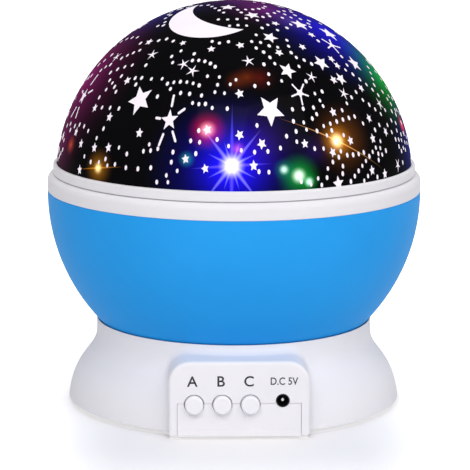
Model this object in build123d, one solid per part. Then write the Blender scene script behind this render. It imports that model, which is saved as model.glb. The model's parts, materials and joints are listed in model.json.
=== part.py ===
from build123d import *
import math
import os

os.makedirs("parts", exist_ok=True)

# Star night light projector. Millimetres, +Z up, control panel at -Y.
# The origin lies on the floor, on the axis that the ball turns about.

back_angle = 90.0  # of +Y, where the motor stands and circles of holes start

# Clearances
screw_gap = 0.05  # round a shank or a pressed piece
running_gap = 0.05  # radial, between a shaft and its bore
part_gap = 0.35  # between moulded pieces that pass each other
seam_gap = 0.12  # round the apron
press_gap = 0.02  # radial, between the pinion and its shaft
overcut = 1.0  # a cutter runs this far past what it cuts

# Heights of the base, from the floor up
foot_height = 0.8
foot_radius = 5.0
foot_recess = 0.7
foot_edge = 0.3
cover_plate = 2.0
skirt_lift = 0.4  # the plate stands this far below the skirt's edge

# Skirt, neck and deck of the base
skirt_radius = 58.3
neck_radius = 48.35
neck_upright = 4.08  # the straight part under the neck's rim
skirt_bow = 15.4
skirt_lean = 1.6  # inwards, over the height of the bow
neck_bow = 9.4
base_wall = 2.2
rim_edge = 0.2
deck_thickness = 2.0

# Control pod on the front
pod_half_width = 23.7
pod_drop = 3.38  # from the neck's rim to the pod's top
pod_proud = 0.7  # the panel stands this far outside the skirt
pod_corner = 7.4
pod_edge = 1.3
pod_blend = 3.0  # fillet where the pod meets the neck
pod_wall = 2.0
pod_web = 2.0  # left between the pod's hollow and the neck
pod_hollow = 18.8  # from the panel's inner face back into the base
apron_half_width = 20.7
apron_height = 11.0  # above the skirt's edge
lip_height = 1.8
lip_depth = 0.2

# Buttons and the switches behind them
button_names = ("a", "b", "c")
first_button_x = -15.1
button_pitch = 9.4
button_drop = 0.4  # below the apron's top line
button_radius = 3.1
button_proud = 2.0
button_gap = 0.3
button_travel = 0.8
button_flange = 1.0  # radial and thick
flange_gap = 0.1  # behind the panel
button_edge = 0.7
stem_radius = 1.7
switch_size = 6.0
switch_depth = 3.5
plunger_radius = 1.6
plunger_proud = 1.5
plunger_slack = 0.2
switch_floor = 0.5

# Power socket
jack_x = 14.5
jack_rise = 0.85  # above the apron's top line
jack_hole_radius = 2.35
jack_width = 7.8
jack_bore_radius = 2.0
jack_pin_radius = 0.6
jack_nose_gap = 0.1  # between the nose and its hole, and behind the panel's face
jack_pin_inset = 1.2  # behind the panel's face
jack_pin_edge = 0.24
jack_floor = 1.2

# Control board
board_thickness = 1.6
board_half_width = 20.0
board_depth = 9.4  # from the panel's inner face to the board
rail_width = 2.4
rail_lap = 1.2
rail_height = 11.0
chip_x = -10.0
chip_radius = 5.0
chip_height = 1.2

# Battery bay
cell_count = 4
cell_radius = 5.25
cell_length = 44.5
cell_edge = 0.5
cell_nub_radius = 1.9
cell_nub = 1.0
cell_gap = 0.5
bay_wall = 1.5
bay_roof = 1.4
contact_room = 2.2
contact_plate = 0.4
contact_half_width = 3.6
spring_drop = 0.8  # the leaf's bend lies below the cell's top
tab_pocket = 3.2
bay_to_motor = 5.0

# Battery door
door_plate = 1.8
door_gap = 0.2
door_tab_x = 14.0
door_tab_width = 8.0
door_tab_reach = 2.2
door_tab_thickness = 0.9
door_riser = 1.5
door_lug_width = 9.0
door_lug_reach = 6.4
door_screw_margin = 3.5  # from the lug's end to the screw
door_seat = 1.0  # depth of the screw head's recess
door_boss_height = 3.2  # above the door
door_head_sink = 0.05
door_tip_room = 0.4
grip_count = 5
grip_pitch = 1.6
grip_margin = 4.0  # from the door's edge to the first groove
grip_half_length = 8.0
grip_half_width = 0.4
grip_depth = 0.4

# Screws
screw_radius = 1.25
small_screw_radius = 1.0
head_ratio = 2.1  # head radius over shank radius
head_height = 1.2
head_sink = 0.1  # between a sunk head and the face round it
slot_half_width = 0.25
slot_depth = 0.6
case_boss_radius = 3.2
case_screw_margin = 10.3  # from the skirt's edge to the screws
case_screw_angles = (-15.0, 195.0, 52.0, 128.0)
case_screw_length = 8.0
foot_margin = 10.3  # from the skirt's edge to the feet
foot_angles = (-62.0, 242.0, 26.0, 154.0)

# Lead up the mast
lead_radius = 0.9
lead_bend = 9.0
lead_clear = 0.1
lead_headroom = 0.4

# Motor and gears
tooth_module = 1.0
ring_teeth = 54
pinion_teeth = 12
pressure_angle = 25.0
tooth_top = 0.8  # above the pitch circle, in modules
tooth_foot = 1.0  # below the pitch circle, in modules
tooth_thinning = 0.14
flank_steps = 4
gear_lift = 1.3  # from the deck to the ring gear
gear_thickness = 3.0
ring_bore_radius = 19.5
pinion_thickness = 2.8
pinion_drop = 0.4  # the pinion's top lies this far below the bowl
gear_screw_circle = 22.5
gear_screw_count = 3
gear_screw_angle = 30.0
gear_screw_length = 5.0
motor_radius = 12.0
gearbox_height = 6.0
can_radius = 10.0
can_height = 5.0
motor_nose_radius = 4.0
motor_nose = 1.5
ear_reach = 21.0
ear_half_width = 3.4
ear_thickness = 1.0
ear_corner = 3.06
ear_screw_x = 17.5
shaft_radius = 1.5
shaft_flat = 1.1
shaft_depth = 8.0
shaft_end_room = 0.5

# Mast and the bearing of the ball
mast_radius = 9.0
mast_bore_radius = 7.0
mast_foot_radius = 15.0
mast_foot = 2.0
mast_screw_circle = 12.0
mast_screw_count = 3
washer_thickness = 0.5
washer_radius = 13.0
bush_wall = 1.5
bush_flange = 1.0
hub_wall = 2.5
hub_height = 11.2
clip_thickness = 1.0
clip_play = 0.4
clip_groove = 0.8
clip_fit = 0.05
clip_radius = 12.0
clip_opening = 8.0

# Ball
ball_radius = 65.3
floor_radius = 41.3  # of the flat that the ball is cut to at its foot
rim_rise = 0.9  # from the ball's centre to the bowl's rim
bowl_wall = 2.2
bowl_floor = 2.2
gear_boss_radius = 3.0
gear_boss_height = 4.2
ledge_drop = 6.3  # from the ball's centre to the ledge
ledge_width = 8.0
ledge_thickness = 3.0
deck_boss_radius = 3.2
deck_boss_height = 6.5
deck_boss_margin = 5.5  # from the wall to the screws
deck_boss_count = 4
deck_boss_angle = 45.0
inner_deck_thickness = 2.0
inner_deck_gap = 0.2
inner_deck_hole = 11.0
deck_screw_length = 6.0
joint_edge = 0.3

# Rings and dome
collar_height = 5.7
collar_shoulder = 2.3
collar_floor = 0.7
spigot_wall = 1.9
spigot_gap = 0.1
cover_gap = 0.25  # between the collar and the ring of the cover
ring_height = 3.45
ring_step = 2.0  # the upper ring is this much smaller than the ball
ring_skirt = 2.0
ring_seat = 0.95
ring_flange = 2.5
ring_flange_width = 4.5
ring_edge = 0.6
skirt_inset = 0.7  # the ring's skirt is this much smaller than the ring
skirt_drop = 4.95
dome_step = 0.9  # the dome is this much smaller than the ring
dome_lift = 4.2  # from the ball's centre to the dome's centre
dome_wall = 1.5

# Lamps on the mast
platform_radius = 18.0
platform_thickness = 2.0
platform_rim = 2.6
platform_rim_wall = 1.2
platform_drop = 1.8  # from the ball's centre to the platform
mast_spigot_wall = 2.0
mast_spigot_length = 6.0
lead_hole_radius = 2.2
led_board_radius = 14.5
led_board_thickness = 1.6
led_screw_x = 11.5
led_screw_length = 5.0
led_boss_radius = 2.2
led_boss_height = 1.8
led_names = ("warm", "red", "green", "blue")
led_circle = 5.0
led_radius = 2.5
led_flange = 0.4
led_flange_height = 1.0
led_height = 3.5

# Levels and places worked out from the sizes above
skirt_z = foot_height + skirt_lift
cover_top_z = foot_height + cover_plate
door_top_z = foot_height + door_plate
cell_z = door_top_z + 0.5 * cell_gap + cell_radius
bay_ceiling_z = cell_z + cell_radius + 0.5 * cell_gap
bay_top_z = bay_ceiling_z + bay_roof
lead_z = bay_top_z + lead_clear + lead_radius
deck_z = lead_z + lead_radius + lead_headroom
deck_top_z = deck_z + deck_thickness
ring_gear_z = deck_top_z + gear_lift
bowl_floor_z = ring_gear_z + gear_thickness
ball_z = bowl_floor_z + math.sqrt(ball_radius ** 2 - floor_radius ** 2)
neck_rim_z = ball_z - math.sqrt((ball_radius + part_gap) ** 2 - neck_radius ** 2)
neck_z = neck_rim_z - neck_upright
pod_top_z = neck_rim_z - pod_drop
pod_reach = skirt_radius + pod_proud
rim_z = ball_z + rim_rise
ledge_z = ball_z - ledge_drop
inner_deck_top_z = ledge_z + inner_deck_thickness
collar_top_z = rim_z + collar_height
ring_z = collar_top_z + cover_gap
ring_top_z = ring_z + ring_height
dome_z = ball_z + dome_lift
dome_seat_z = ring_z + ring_seat
panel_line_z = skirt_z + apron_height
button_z = panel_line_z - button_drop
jack_z = panel_line_z + jack_rise
panel_inner_y = -(pod_reach - pod_wall)
board_front_y = panel_inner_y + board_depth
board_back_y = board_front_y + board_thickness
mast_foot_top_z = deck_top_z + mast_foot
hub_z = mast_foot_top_z + washer_thickness + running_gap + bush_flange
hub_top_z = hub_z + hub_height
clip_z = hub_top_z + clip_play
platform_z = ball_z - platform_drop
platform_top_z = platform_z + platform_thickness
led_board_top_z = platform_top_z + led_board_thickness
pinion_y = 0.5 * tooth_module * (ring_teeth + pinion_teeth)
bay_back_y = pinion_y - motor_radius - bay_to_motor
bay_inner_back_y = bay_back_y - bay_wall
cell_pitch = 2 * cell_radius + cell_gap
last_cell_y = bay_inner_back_y - cell_gap - cell_radius
first_cell_y = last_cell_y - (cell_count - 1) * cell_pitch
door_front_y = first_cell_y - cell_radius - cell_gap
bay_inner_front_y = door_front_y - tab_pocket
bay_half_length = 0.5 * cell_length + contact_room
door_screw_y = bay_inner_back_y + door_lug_reach - door_screw_margin
ring_outer_radius = ball_radius - ring_step
ring_flange_radius = ring_outer_radius - ring_flange_width
dome_radius = ring_outer_radius - dome_step
skirt_outer_radius = ring_outer_radius - skirt_inset
collar_inner_radius = skirt_outer_radius + part_gap
bush_radius = mast_radius + running_gap + bush_wall
hub_radius = bush_radius + hub_wall
ledge_bore_radius = math.sqrt((ball_radius - bowl_wall) ** 2 - ledge_drop ** 2)
ledge_radius = ledge_bore_radius - ledge_width
deck_boss_circle = ledge_bore_radius - deck_boss_margin
case_screw_circle = skirt_radius - case_screw_margin
foot_circle = skirt_radius - foot_margin
button_places = {name: first_button_x + i * button_pitch for i, name in enumerate(button_names)}


def disc(radius, low_z, high_z, x=0.0, y=0.0):
    # an upright cylinder between two levels
    standing = (Align.CENTER, Align.CENTER, Align.MIN)
    return Pos(x, y, low_z) * Cylinder(radius, high_z - low_z, align=standing)


def tube(inner_radius, outer_radius, low_z, high_z, x=0.0, y=0.0):
    return disc(outer_radius, low_z, high_z, x, y) - disc(inner_radius, low_z, high_z, x, y)


def block(x_span, y_span, z_span):
    # a box between pairs of coordinates
    spans = (x_span, y_span, z_span)
    middle = [0.5 * (low + high) for low, high in spans]
    lengths = [high - low for low, high in spans]
    return Pos(*middle) * Box(*lengths)


def bar_y(radius, low_y, high_y, x, z):
    # a cylinder that lies along Y
    lying = (Align.CENTER, Align.CENTER, Align.MIN)
    return Pos(x, low_y, z) * Rot(-90, 0, 0) * Cylinder(radius, high_y - low_y, align=lying)


def bar_x(radius, low_x, high_x, y, z):
    # a cylinder that lies along X
    lying = (Align.CENTER, Align.CENTER, Align.MIN)
    return Pos(low_x, y, z) * Rot(0, 90, 0) * Cylinder(radius, high_x - low_x, align=lying)


def turned(points, rounds=()):
    # a solid of revolution about Z from a closed outline of (radius, height);
    # rounds pairs the number of a corner with its radius
    outline = make_face(Polyline(*points, close=True))
    for number, radius in rounds:
        corner = outline.vertices().sort_by_distance((*points[number], 0))[0]
        outline = fillet(corner, radius)
    return revolve(Plane.XZ * outline, Axis.Z)


def ball(radius, centre_z):
    return Pos(0, 0, centre_z) * Sphere(radius)


def on_circle(radius, angle):
    turn = math.radians(angle)
    return radius * math.cos(turn), radius * math.sin(turn)


def circle_places(radius, count, start=back_angle):
    return [on_circle(radius, start + 360.0 * i / count) for i in range(count)]


def screw_slot(x, y, radius, low_z):
    x_span = (x - radius, x + radius)
    return block(x_span, (y - slot_half_width, y + slot_half_width), (low_z, low_z + slot_depth))


def screw_up(x, y, seat_z, radius, length):
    # a screw driven upwards, its head's upper face at seat_z
    head = disc(head_ratio * radius, seat_z - head_height, seat_z, x, y)
    slot = screw_slot(x, y, radius, seat_z - head_height)
    return head - slot + disc(radius, seat_z, seat_z + length, x, y)


def screw_down(x, y, seat_z, radius, length):
    # a screw driven downwards, its head's lower face at seat_z
    head = disc(head_ratio * radius, seat_z, seat_z + head_height, x, y)
    slot = screw_slot(x, y, radius, seat_z + head_height - slot_depth)
    return head - slot + disc(radius, seat_z - length, seat_z, x, y)


def save(name, *solids):
    shape = solids[0] if len(solids) == 1 else Compound(children=list(solids))
    shape.label = name
    export_step(shape, f"parts/{name}.step")


# Base housing

def base_form(inset, low_z, high_z):
    # the skirt's S-curve and the neck above it, as a turned solid, moved in by inset
    low_radius = skirt_radius - inset
    high_radius = neck_radius - inset
    flank = Bezier(
        (low_radius, skirt_z),
        (low_radius - skirt_lean, skirt_z + skirt_bow),
        (high_radius, neck_z - neck_bow),
        (high_radius, neck_z),
    )
    closing = Polyline(
        (high_radius, neck_z), (high_radius, ball_z), (0, ball_z), (0, skirt_z), (low_radius, skirt_z)
    )
    form = revolve(Plane.XZ * make_face([flank, closing]), Axis.Z)
    reach = skirt_radius + overcut
    return form & block((-reach, reach), (-reach, reach), (low_z, high_z))


def pod_form(inset, front_y, back_y, low_z):
    # the control pod: a slab along Y with its two upper corners round
    half = pod_half_width - inset
    top_z = pod_top_z - inset
    radius = pod_corner - inset
    shape = block((-half, half), (front_y, back_y), (low_z, top_z))
    corners = shape.edges().filter_by(Axis.Y).group_by(Axis.Z)[-1]
    return fillet(corners, radius)


def is_above_foot(edge):
    # leaves out the edges that lie in the skirt's lowest plane
    return edge.center().Z > skirt_z + skirt_lift


def make_outer_form():
    # the turned form and the pod, joined by a soft fillet
    form = base_form(0, skirt_z, ball_z)
    pod = pod_form(0, -pod_reach, 0, skirt_z)
    front = pod.edges().group_by(Axis.Y)[0].filter_by(is_above_foot)
    pod = fillet(front, pod_edge)
    both = form + pod
    seams = new_edges(form, pod, combined=both).filter_by(is_above_foot)
    return fillet(seams, pod_blend)


def panel_openings():
    # holes of the buttons and the socket, through the pod's front wall
    through = (-pod_reach - overcut, panel_inner_y + overcut)
    holes = [bar_y(button_radius + button_gap, *through, x, button_z) for x in button_places.values()]
    holes.append(bar_y(jack_hole_radius, *through, jack_x, jack_z))
    return holes


def make_base_housing():
    body = make_outer_form()
    body -= base_form(base_wall, skirt_z, deck_z)
    body -= base_form(base_wall, deck_top_z, ball_z)
    body -= ball(ball_radius + part_gap, ball_z) & block(
        (-ball_radius, ball_radius), (-ball_radius, ball_radius), (deck_top_z, ball_z)
    )
    body = fillet(body.edges().sort_by(Axis.Z)[-1], rim_edge)
    neck_y = -(neck_radius + pod_web)
    body -= pod_form(pod_wall, panel_inner_y, neck_y, skirt_z) & block(
        (-pod_half_width, pod_half_width), (-pod_reach, neck_y), (skirt_z, pod_top_z)
    )
    inner_half = pod_half_width - pod_wall
    body -= block((-inner_half, inner_half), (panel_inner_y, panel_inner_y + pod_hollow), (skirt_z, deck_z))
    notch_half = apron_half_width + seam_gap
    body -= block((-notch_half, notch_half), (-pod_reach - overcut, panel_inner_y), (skirt_z, panel_line_z))
    for x, y in case_screw_places():
        body += disc(case_boss_radius, cover_top_z, deck_z, x, y)
        body -= disc(screw_radius + screw_gap, cover_top_z, cover_top_z + case_screw_length, x, y)
    for hole in panel_openings():
        body -= hole
    body -= disc(mast_bore_radius, deck_z, deck_top_z)
    body -= disc(motor_nose_radius + screw_gap, deck_z, deck_top_z, 0, pinion_y)
    for x, y in ear_screw_places() + mast_screw_places():
        body -= disc(small_screw_radius + screw_gap, deck_z, deck_top_z, x, y)
    return body


def make_foot(x, y):
    pad = disc(foot_radius, 0, foot_height + foot_recess, x, y)
    return fillet(pad.edges().group_by(Axis.Z)[0], foot_edge)


def case_screw_places():
    return [on_circle(case_screw_circle, angle) for angle in case_screw_angles]


def foot_places():
    return [on_circle(foot_circle, angle) for angle in foot_angles]


def ear_screw_places():
    return [(-ear_screw_x, pinion_y), (ear_screw_x, pinion_y)]


def mast_screw_places():
    return circle_places(mast_screw_circle, mast_screw_count)


# Bottom cover

def make_bottom_cover():
    plate = disc(skirt_radius - base_wall - part_gap, foot_height, cover_top_z)
    inner_half = pod_half_width - pod_wall - part_gap
    plate += block((-inner_half, inner_half), (panel_inner_y + seam_gap, 0), (foot_height, cover_top_z))
    plate += make_apron()
    outer_half = bay_half_length + bay_wall
    bay_y = (bay_inner_front_y - bay_wall, bay_back_y)
    plate += block((-outer_half, outer_half), bay_y, (foot_height, bay_top_z))
    plate += disc(case_boss_radius, foot_height, door_boss_top_z(), 0, door_screw_y)
    room_y = (bay_inner_front_y, bay_inner_back_y)
    plate -= block((-bay_half_length, bay_half_length), room_y, (cover_top_z, bay_ceiling_z))
    for side in (-1, 1):
        plate += make_rail(side)
    for cut in door_cuts():
        plate -= cut
    for x, y in foot_places():
        plate -= disc(foot_radius + screw_gap, foot_height, foot_height + foot_recess, x, y)
    for x, y in case_screw_places():
        head = head_ratio * screw_radius + screw_gap
        plate -= disc(head, foot_height, case_seat_z(), x, y)
        plate -= disc(screw_radius + screw_gap, foot_height, cover_top_z, x, y)
    for hole in panel_openings():
        plate -= hole
    return plate


def case_seat_z():
    return foot_height + head_height + head_sink


def door_boss_top_z():
    return door_top_z + door_boss_height


def make_apron():
    # the upright front of the cover, flush with the pod, with a lip along its foot
    front_y = -pod_reach + lip_depth
    half = apron_half_width
    upright = block((-half, half), (front_y, panel_inner_y), (foot_height, panel_line_z - seam_gap))
    lip_y = (-pod_reach, panel_inner_y + seam_gap)
    return upright + block((-half, half), lip_y, (foot_height, foot_height + lip_height))


def make_rail(side):
    # a grooved post that holds one end of the control board
    outer = board_half_width + rail_width - rail_lap
    inner = board_half_width - rail_lap
    x_span = sorted((side * inner, side * outer))
    groove_x = sorted((side * inner, side * (board_half_width + screw_gap)))
    y_span = (board_front_y - rail_lap, board_back_y + rail_lap)
    post = block(x_span, y_span, (foot_height, cover_top_z + rail_height))
    groove_y = (board_front_y - screw_gap, board_back_y + screw_gap)
    return post - block(groove_x, groove_y, (cover_top_z, cover_top_z + rail_height))


def door_outline(gap):
    # plan of the battery door and its screw lug, grown by gap, as two blocks through the plate
    half = bay_half_length + gap
    lug = 0.5 * door_lug_width + gap
    levels = (foot_height, door_top_z)
    panel = block((-half, half), (door_front_y - gap, bay_inner_back_y + gap), levels)
    tongue = block((-lug, lug), (bay_inner_back_y, bay_inner_back_y + door_lug_reach + gap), levels)
    return panel + tongue


def door_cuts():
    opening_y = (door_front_y - door_gap, bay_inner_back_y)
    opening = block((-bay_half_length, bay_half_length), opening_y, (foot_height, cover_top_z))
    pilot = disc(screw_radius + part_gap, foot_height, door_boss_top_z(), 0, door_screw_y)
    return [door_outline(door_gap), opening, pilot]


def make_battery_door():
    door = door_outline(0)
    for side in (-1, 1):
        left = side * door_tab_x - 0.5 * door_tab_width
        x_span = (left, left + door_tab_width)
        riser_y = (door_front_y, door_front_y + door_riser)
        tab_low = cover_top_z + door_gap
        tab_top = tab_low + door_tab_thickness
        door += block(x_span, riser_y, (door_top_z, tab_top))
        door += block(x_span, (door_front_y - door_tab_reach, door_front_y), (tab_low, tab_top))
    for step in range(grip_count):
        y = bay_inner_back_y - grip_margin - grip_pitch * step
        groove_y = (y - grip_half_width, y + grip_half_width)
        groove_z = (foot_height, foot_height + grip_depth)
        door -= block((-grip_half_length, grip_half_length), groove_y, groove_z)
    door -= disc(head_ratio * screw_radius + screw_gap, foot_height, door_seat_z(), 0, door_screw_y)
    door -= disc(screw_radius + screw_gap, foot_height, door_top_z, 0, door_screw_y)
    return door


def door_seat_z():
    return foot_height + door_seat


def make_door_screw():
    # a captive screw, its head sunk flush in the door's lug
    head_z = foot_height + door_head_sink
    screw = disc(head_ratio * screw_radius, head_z, door_seat_z(), 0, door_screw_y)
    screw += disc(screw_radius, door_seat_z(), door_boss_top_z() - door_tip_room, 0, door_screw_y)
    return screw - screw_slot(0, door_screw_y, screw_radius, head_z)


# Batteries and contacts

def cell_rows():
    # each cell's place along Y and the side its nub points to
    return [(first_cell_y + i * cell_pitch, 1 if i % 2 == 0 else -1) for i in range(cell_count)]


def mirrored_span(side, near, far):
    return sorted((side * near, side * far))


def make_cell(y, side):
    # the nub touches the flat contact, so the cell sits off centre by the room that is left
    tip = bay_half_length - contact_plate
    shoulder = tip - cell_nub
    tail = tip - cell_length
    body = bar_x(cell_radius, *mirrored_span(side, tail, shoulder), y, cell_z)
    body = fillet(body.edges(), cell_edge)
    return body + bar_x(cell_nub_radius, *mirrored_span(side, shoulder, tip), y, cell_z)


def make_flat_contact(y, side):
    x_span = mirrored_span(side, bay_half_length - contact_plate, bay_half_length)
    y_span = (y - contact_half_width, y + contact_half_width)
    return block(x_span, y_span, (cell_z - cell_radius, cell_z + cell_radius))


def make_spring_contact(y, side):
    # a folded leaf: an upright back on the wall and a tongue that leans on the cell's end
    room = 2 * contact_room - contact_plate
    low = cell_z - cell_radius
    high = cell_z + cell_radius - spring_drop
    leaf = contact_plate
    points = [
        (0, low), (0, high), (leaf, high), (room, cell_z), (room - leaf, cell_z - leaf),
        (leaf, high - 2 * leaf), (leaf, low),
    ]
    wall = -side * bay_half_length
    outline = [(wall + side * x, z) for x, z in points]
    face = Plane.XZ * make_face(Polyline(*outline, close=True))
    strip = extrude(face, contact_half_width, both=True)
    return Pos(0, y, 0) * strip


# Controls

def make_button(x):
    front_y = -(pod_reach + button_proud)
    flange_y = panel_inner_y + flange_gap
    flange_back_y = flange_y + button_flange
    cap = bar_y(button_radius, front_y, flange_back_y, x, button_z)
    cap = fillet(cap.edges().group_by(Axis.Y)[0], button_edge)
    cap += bar_y(button_radius + button_flange, flange_y, flange_back_y, x, button_z)
    return cap + bar_y(stem_radius, flange_back_y, plunger_tip_y(), x, button_z)


def plunger_tip_y():
    return board_front_y - switch_depth - plunger_proud


def make_plunger(x):
    back_y = board_front_y - plunger_slack - button_travel - switch_floor
    return bar_y(plunger_radius, plunger_tip_y(), back_y, x, button_z)


def make_switch(x):
    half = 0.5 * switch_size
    front_y = board_front_y - switch_depth
    case = block((x - half, x + half), (front_y, board_front_y), (button_z - half, button_z + half))
    return case - bar_y(plunger_radius + running_gap, front_y, board_front_y - switch_floor, x, button_z)


def make_jack():
    half = 0.5 * jack_width
    depth = (panel_inner_y, board_front_y)
    case = block((jack_x - half, jack_x + half), depth, (jack_z - half, jack_z + half))
    nose_y = -pod_reach + jack_nose_gap
    case += bar_y(jack_hole_radius - jack_nose_gap, nose_y, panel_inner_y, jack_x, jack_z)
    return case - bar_y(jack_bore_radius, nose_y - overcut, board_front_y - jack_floor, jack_x, jack_z)


def make_jack_pin():
    tip_y = -pod_reach + jack_pin_inset
    pin = bar_y(jack_pin_radius, tip_y, board_front_y - jack_floor, jack_x, jack_z)
    return fillet(pin.edges().group_by(Axis.Y)[0], jack_pin_edge)


def make_control_board():
    half = board_half_width
    return block((-half, half), (board_front_y, board_back_y), (cover_top_z, deck_z - lead_headroom))


def make_chip():
    # the dome of resin over the bare chip on the board's back
    lens = (chip_radius ** 2 + chip_height ** 2) / (2 * chip_height)
    z = 0.5 * (cover_top_z + deck_z)
    drop = Pos(chip_x, board_back_y + chip_height - lens, z) * Sphere(lens)
    room_x = (chip_x - lens, chip_x + lens)
    return drop & block(room_x, (board_back_y, board_back_y + lens), (cover_top_z, deck_z))


def make_lead():
    # from the control board back along the deck, round a bend and up the mast to the lamps
    bend = lead_bend
    run = Line((0, board_back_y, lead_z), (0, -bend, lead_z))
    corner = TangentArc((0, -bend, lead_z), (0, 0, lead_z + bend), tangent=(0, 1, 0))
    rise = Line((0, 0, lead_z + bend), (0, 0, platform_top_z))
    start = Plane(origin=(0, board_back_y, lead_z), z_dir=(0, 1, 0))
    return sweep(start * Circle(lead_radius), path=Wire([run, corner, rise]))


# Motor and gears

def flank_angle(teeth, radius):
    # half the tooth's angle at a radius, by the involute of the base circle
    pitch_radius = 0.5 * tooth_module * teeth
    base_radius = pitch_radius * math.cos(math.radians(pressure_angle))
    pressure = math.acos(min(1.0, base_radius / radius))
    at_pitch = math.radians(pressure_angle)
    half = math.pi / (2 * teeth) - 0.5 * tooth_thinning / pitch_radius
    return half + (math.tan(at_pitch) - at_pitch) - (math.tan(pressure) - pressure)


def gear_outline(teeth, start_angle):
    pitch_radius = 0.5 * tooth_module * teeth
    root = pitch_radius - tooth_foot * tooth_module
    tip = pitch_radius + tooth_top * tooth_module
    radii = [root + (tip - root) * i / flank_steps for i in range(flank_steps + 1)]
    points = []
    for tooth in range(teeth):
        middle = math.radians(start_angle) + 2 * math.pi * tooth / teeth
        rising = [(radius, middle - flank_angle(teeth, radius)) for radius in radii]
        falling = [(radius, middle + flank_angle(teeth, radius)) for radius in reversed(radii)]
        points += [(r * math.cos(a), r * math.sin(a)) for r, a in rising + falling]
    return make_face(Polyline(*points, close=True))


def make_ring_gear():
    gear = Pos(0, 0, ring_gear_z) * extrude(gear_outline(ring_teeth, back_angle), gear_thickness)
    gear -= disc(ring_bore_radius, ring_gear_z, bowl_floor_z)
    for x, y in gear_screw_places():
        gear -= disc(head_ratio * small_screw_radius + screw_gap, ring_gear_z, gear_seat_z(), x, y)
        gear -= disc(small_screw_radius + screw_gap, ring_gear_z, bowl_floor_z, x, y)
    return gear


def gear_screw_places():
    return circle_places(gear_screw_circle, gear_screw_count, gear_screw_angle)


def gear_seat_z():
    return ring_gear_z + head_height + head_sink


def make_pinion():
    top_z = bowl_floor_z - pinion_drop
    # turned half a tooth, so that a gap meets the ring gear's tooth
    half_pitch = 180.0 / pinion_teeth
    start_angle = back_angle + 180.0 + half_pitch
    gear = extrude(gear_outline(pinion_teeth, start_angle), pinion_thickness)
    gear = Pos(0, pinion_y, top_z - pinion_thickness) * gear
    return gear - d_bar(shaft_radius + press_gap, shaft_flat + press_gap, top_z - pinion_thickness, top_z)


def d_bar(radius, flat, low_z, high_z):
    # a round bar with one flat along it, on the pinion's axis
    bar = disc(radius, low_z, high_z, 0, pinion_y)
    cut = block((-radius, radius), (pinion_y + flat, pinion_y + radius + overcut), (low_z, high_z))
    return bar - cut


def make_motor_shaft():
    top_z = bowl_floor_z - pinion_drop
    nose_z = deck_z + motor_nose
    round_part = disc(shaft_radius, deck_z - shaft_depth, nose_z, 0, pinion_y)
    return round_part + d_bar(shaft_radius, shaft_flat, nose_z, top_z)


def make_gear_motor():
    box_z = deck_z - gearbox_height
    body = disc(motor_radius, box_z, deck_z, 0, pinion_y)
    body += disc(can_radius, box_z - can_height, box_z, 0, pinion_y)
    body += disc(motor_nose_radius, deck_z, deck_z + motor_nose, 0, pinion_y)
    y_span = (pinion_y - ear_half_width, pinion_y + ear_half_width)
    ears = block((-ear_reach, ear_reach), y_span, (deck_z - ear_thickness, deck_z))
    body += fillet(ears.edges().filter_by(Axis.Z), ear_corner)
    bore_z = deck_z - shaft_depth - shaft_end_room
    body -= disc(shaft_radius + running_gap, bore_z, deck_z + motor_nose, 0, pinion_y)
    for x, y in ear_screw_places():
        body -= disc(small_screw_radius + screw_gap, deck_z - ear_thickness, deck_z, x, y)
    return body


# Mast and bearing

def make_mast():
    mast = disc(mast_foot_radius, deck_top_z, mast_foot_top_z) + disc(mast_radius, deck_top_z, platform_z)
    mast -= disc(mast_bore_radius, deck_top_z, platform_z)
    groove_radius = mast_radius - clip_groove
    groove_z = clip_z - clip_fit
    mast -= tube(groove_radius, mast_radius + overcut, groove_z, clip_z + clip_thickness + clip_fit)
    for x, y in mast_screw_places():
        mast -= disc(small_screw_radius + screw_gap, deck_top_z, mast_foot_top_z, x, y)
    return mast


def make_thrust_washer():
    return tube(mast_radius + running_gap, washer_radius, mast_foot_top_z, mast_foot_top_z + washer_thickness)


def make_hub_bush():
    bore = mast_radius + running_gap
    sleeve = tube(bore, bush_radius, hub_z - bush_flange, hub_top_z)
    return sleeve + tube(bore, washer_radius, hub_z - bush_flange, hub_z)


def make_retaining_clip():
    inner = mast_radius - clip_groove + screw_gap
    clip = tube(inner, clip_radius, clip_z, clip_z + clip_thickness)
    half = 0.5 * clip_opening
    return clip - block((0, clip_radius + overcut), (-half, half), (clip_z, clip_z + clip_thickness))


# Ball

def make_bowl_shell():
    span = ball_radius + overcut
    solid = ball(ball_radius, ball_z) & block((-span, span), (-span, span), (bowl_floor_z, rim_z))
    rim = solid.edges().group_by(Axis.Z)[-1]
    solid = chamfer(rim, joint_edge)
    inside = ball(ball_radius - bowl_wall, ball_z)
    floor_top_z = bowl_floor_z + bowl_floor
    bowl = solid - (inside & block((-span, span), (-span, span), (floor_top_z, rim_z)))
    ledge = tube(ledge_radius, ball_radius, ledge_z - ledge_thickness, ledge_z)
    for x, y in deck_screw_places():
        ledge += disc(deck_boss_radius, ledge_z - deck_boss_height, ledge_z, x, y)
    bowl += ledge & ball(ball_radius - 0.5 * bowl_wall, ball_z)
    bowl += disc(hub_radius, hub_z, hub_top_z)
    for x, y in gear_screw_places():
        bowl += disc(gear_boss_radius, bowl_floor_z, bowl_floor_z + gear_boss_height, x, y)
        bowl -= disc(small_screw_radius + screw_gap, bowl_floor_z, gear_seat_z() + gear_screw_length, x, y)
    for x, y in deck_screw_places():
        bowl -= disc(small_screw_radius + screw_gap, inner_deck_top_z - deck_screw_length, ledge_z, x, y)
    return bowl - disc(bush_radius + screw_gap, hub_z, hub_top_z)


def deck_screw_places():
    return circle_places(deck_boss_circle, deck_boss_count, deck_boss_angle)


def make_inner_deck():
    deck = tube(inner_deck_hole, ledge_bore_radius - inner_deck_gap, ledge_z, inner_deck_top_z)
    for x, y in deck_screw_places():
        deck -= disc(small_screw_radius + screw_gap, ledge_z, inner_deck_top_z, x, y)
    return deck


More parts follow.
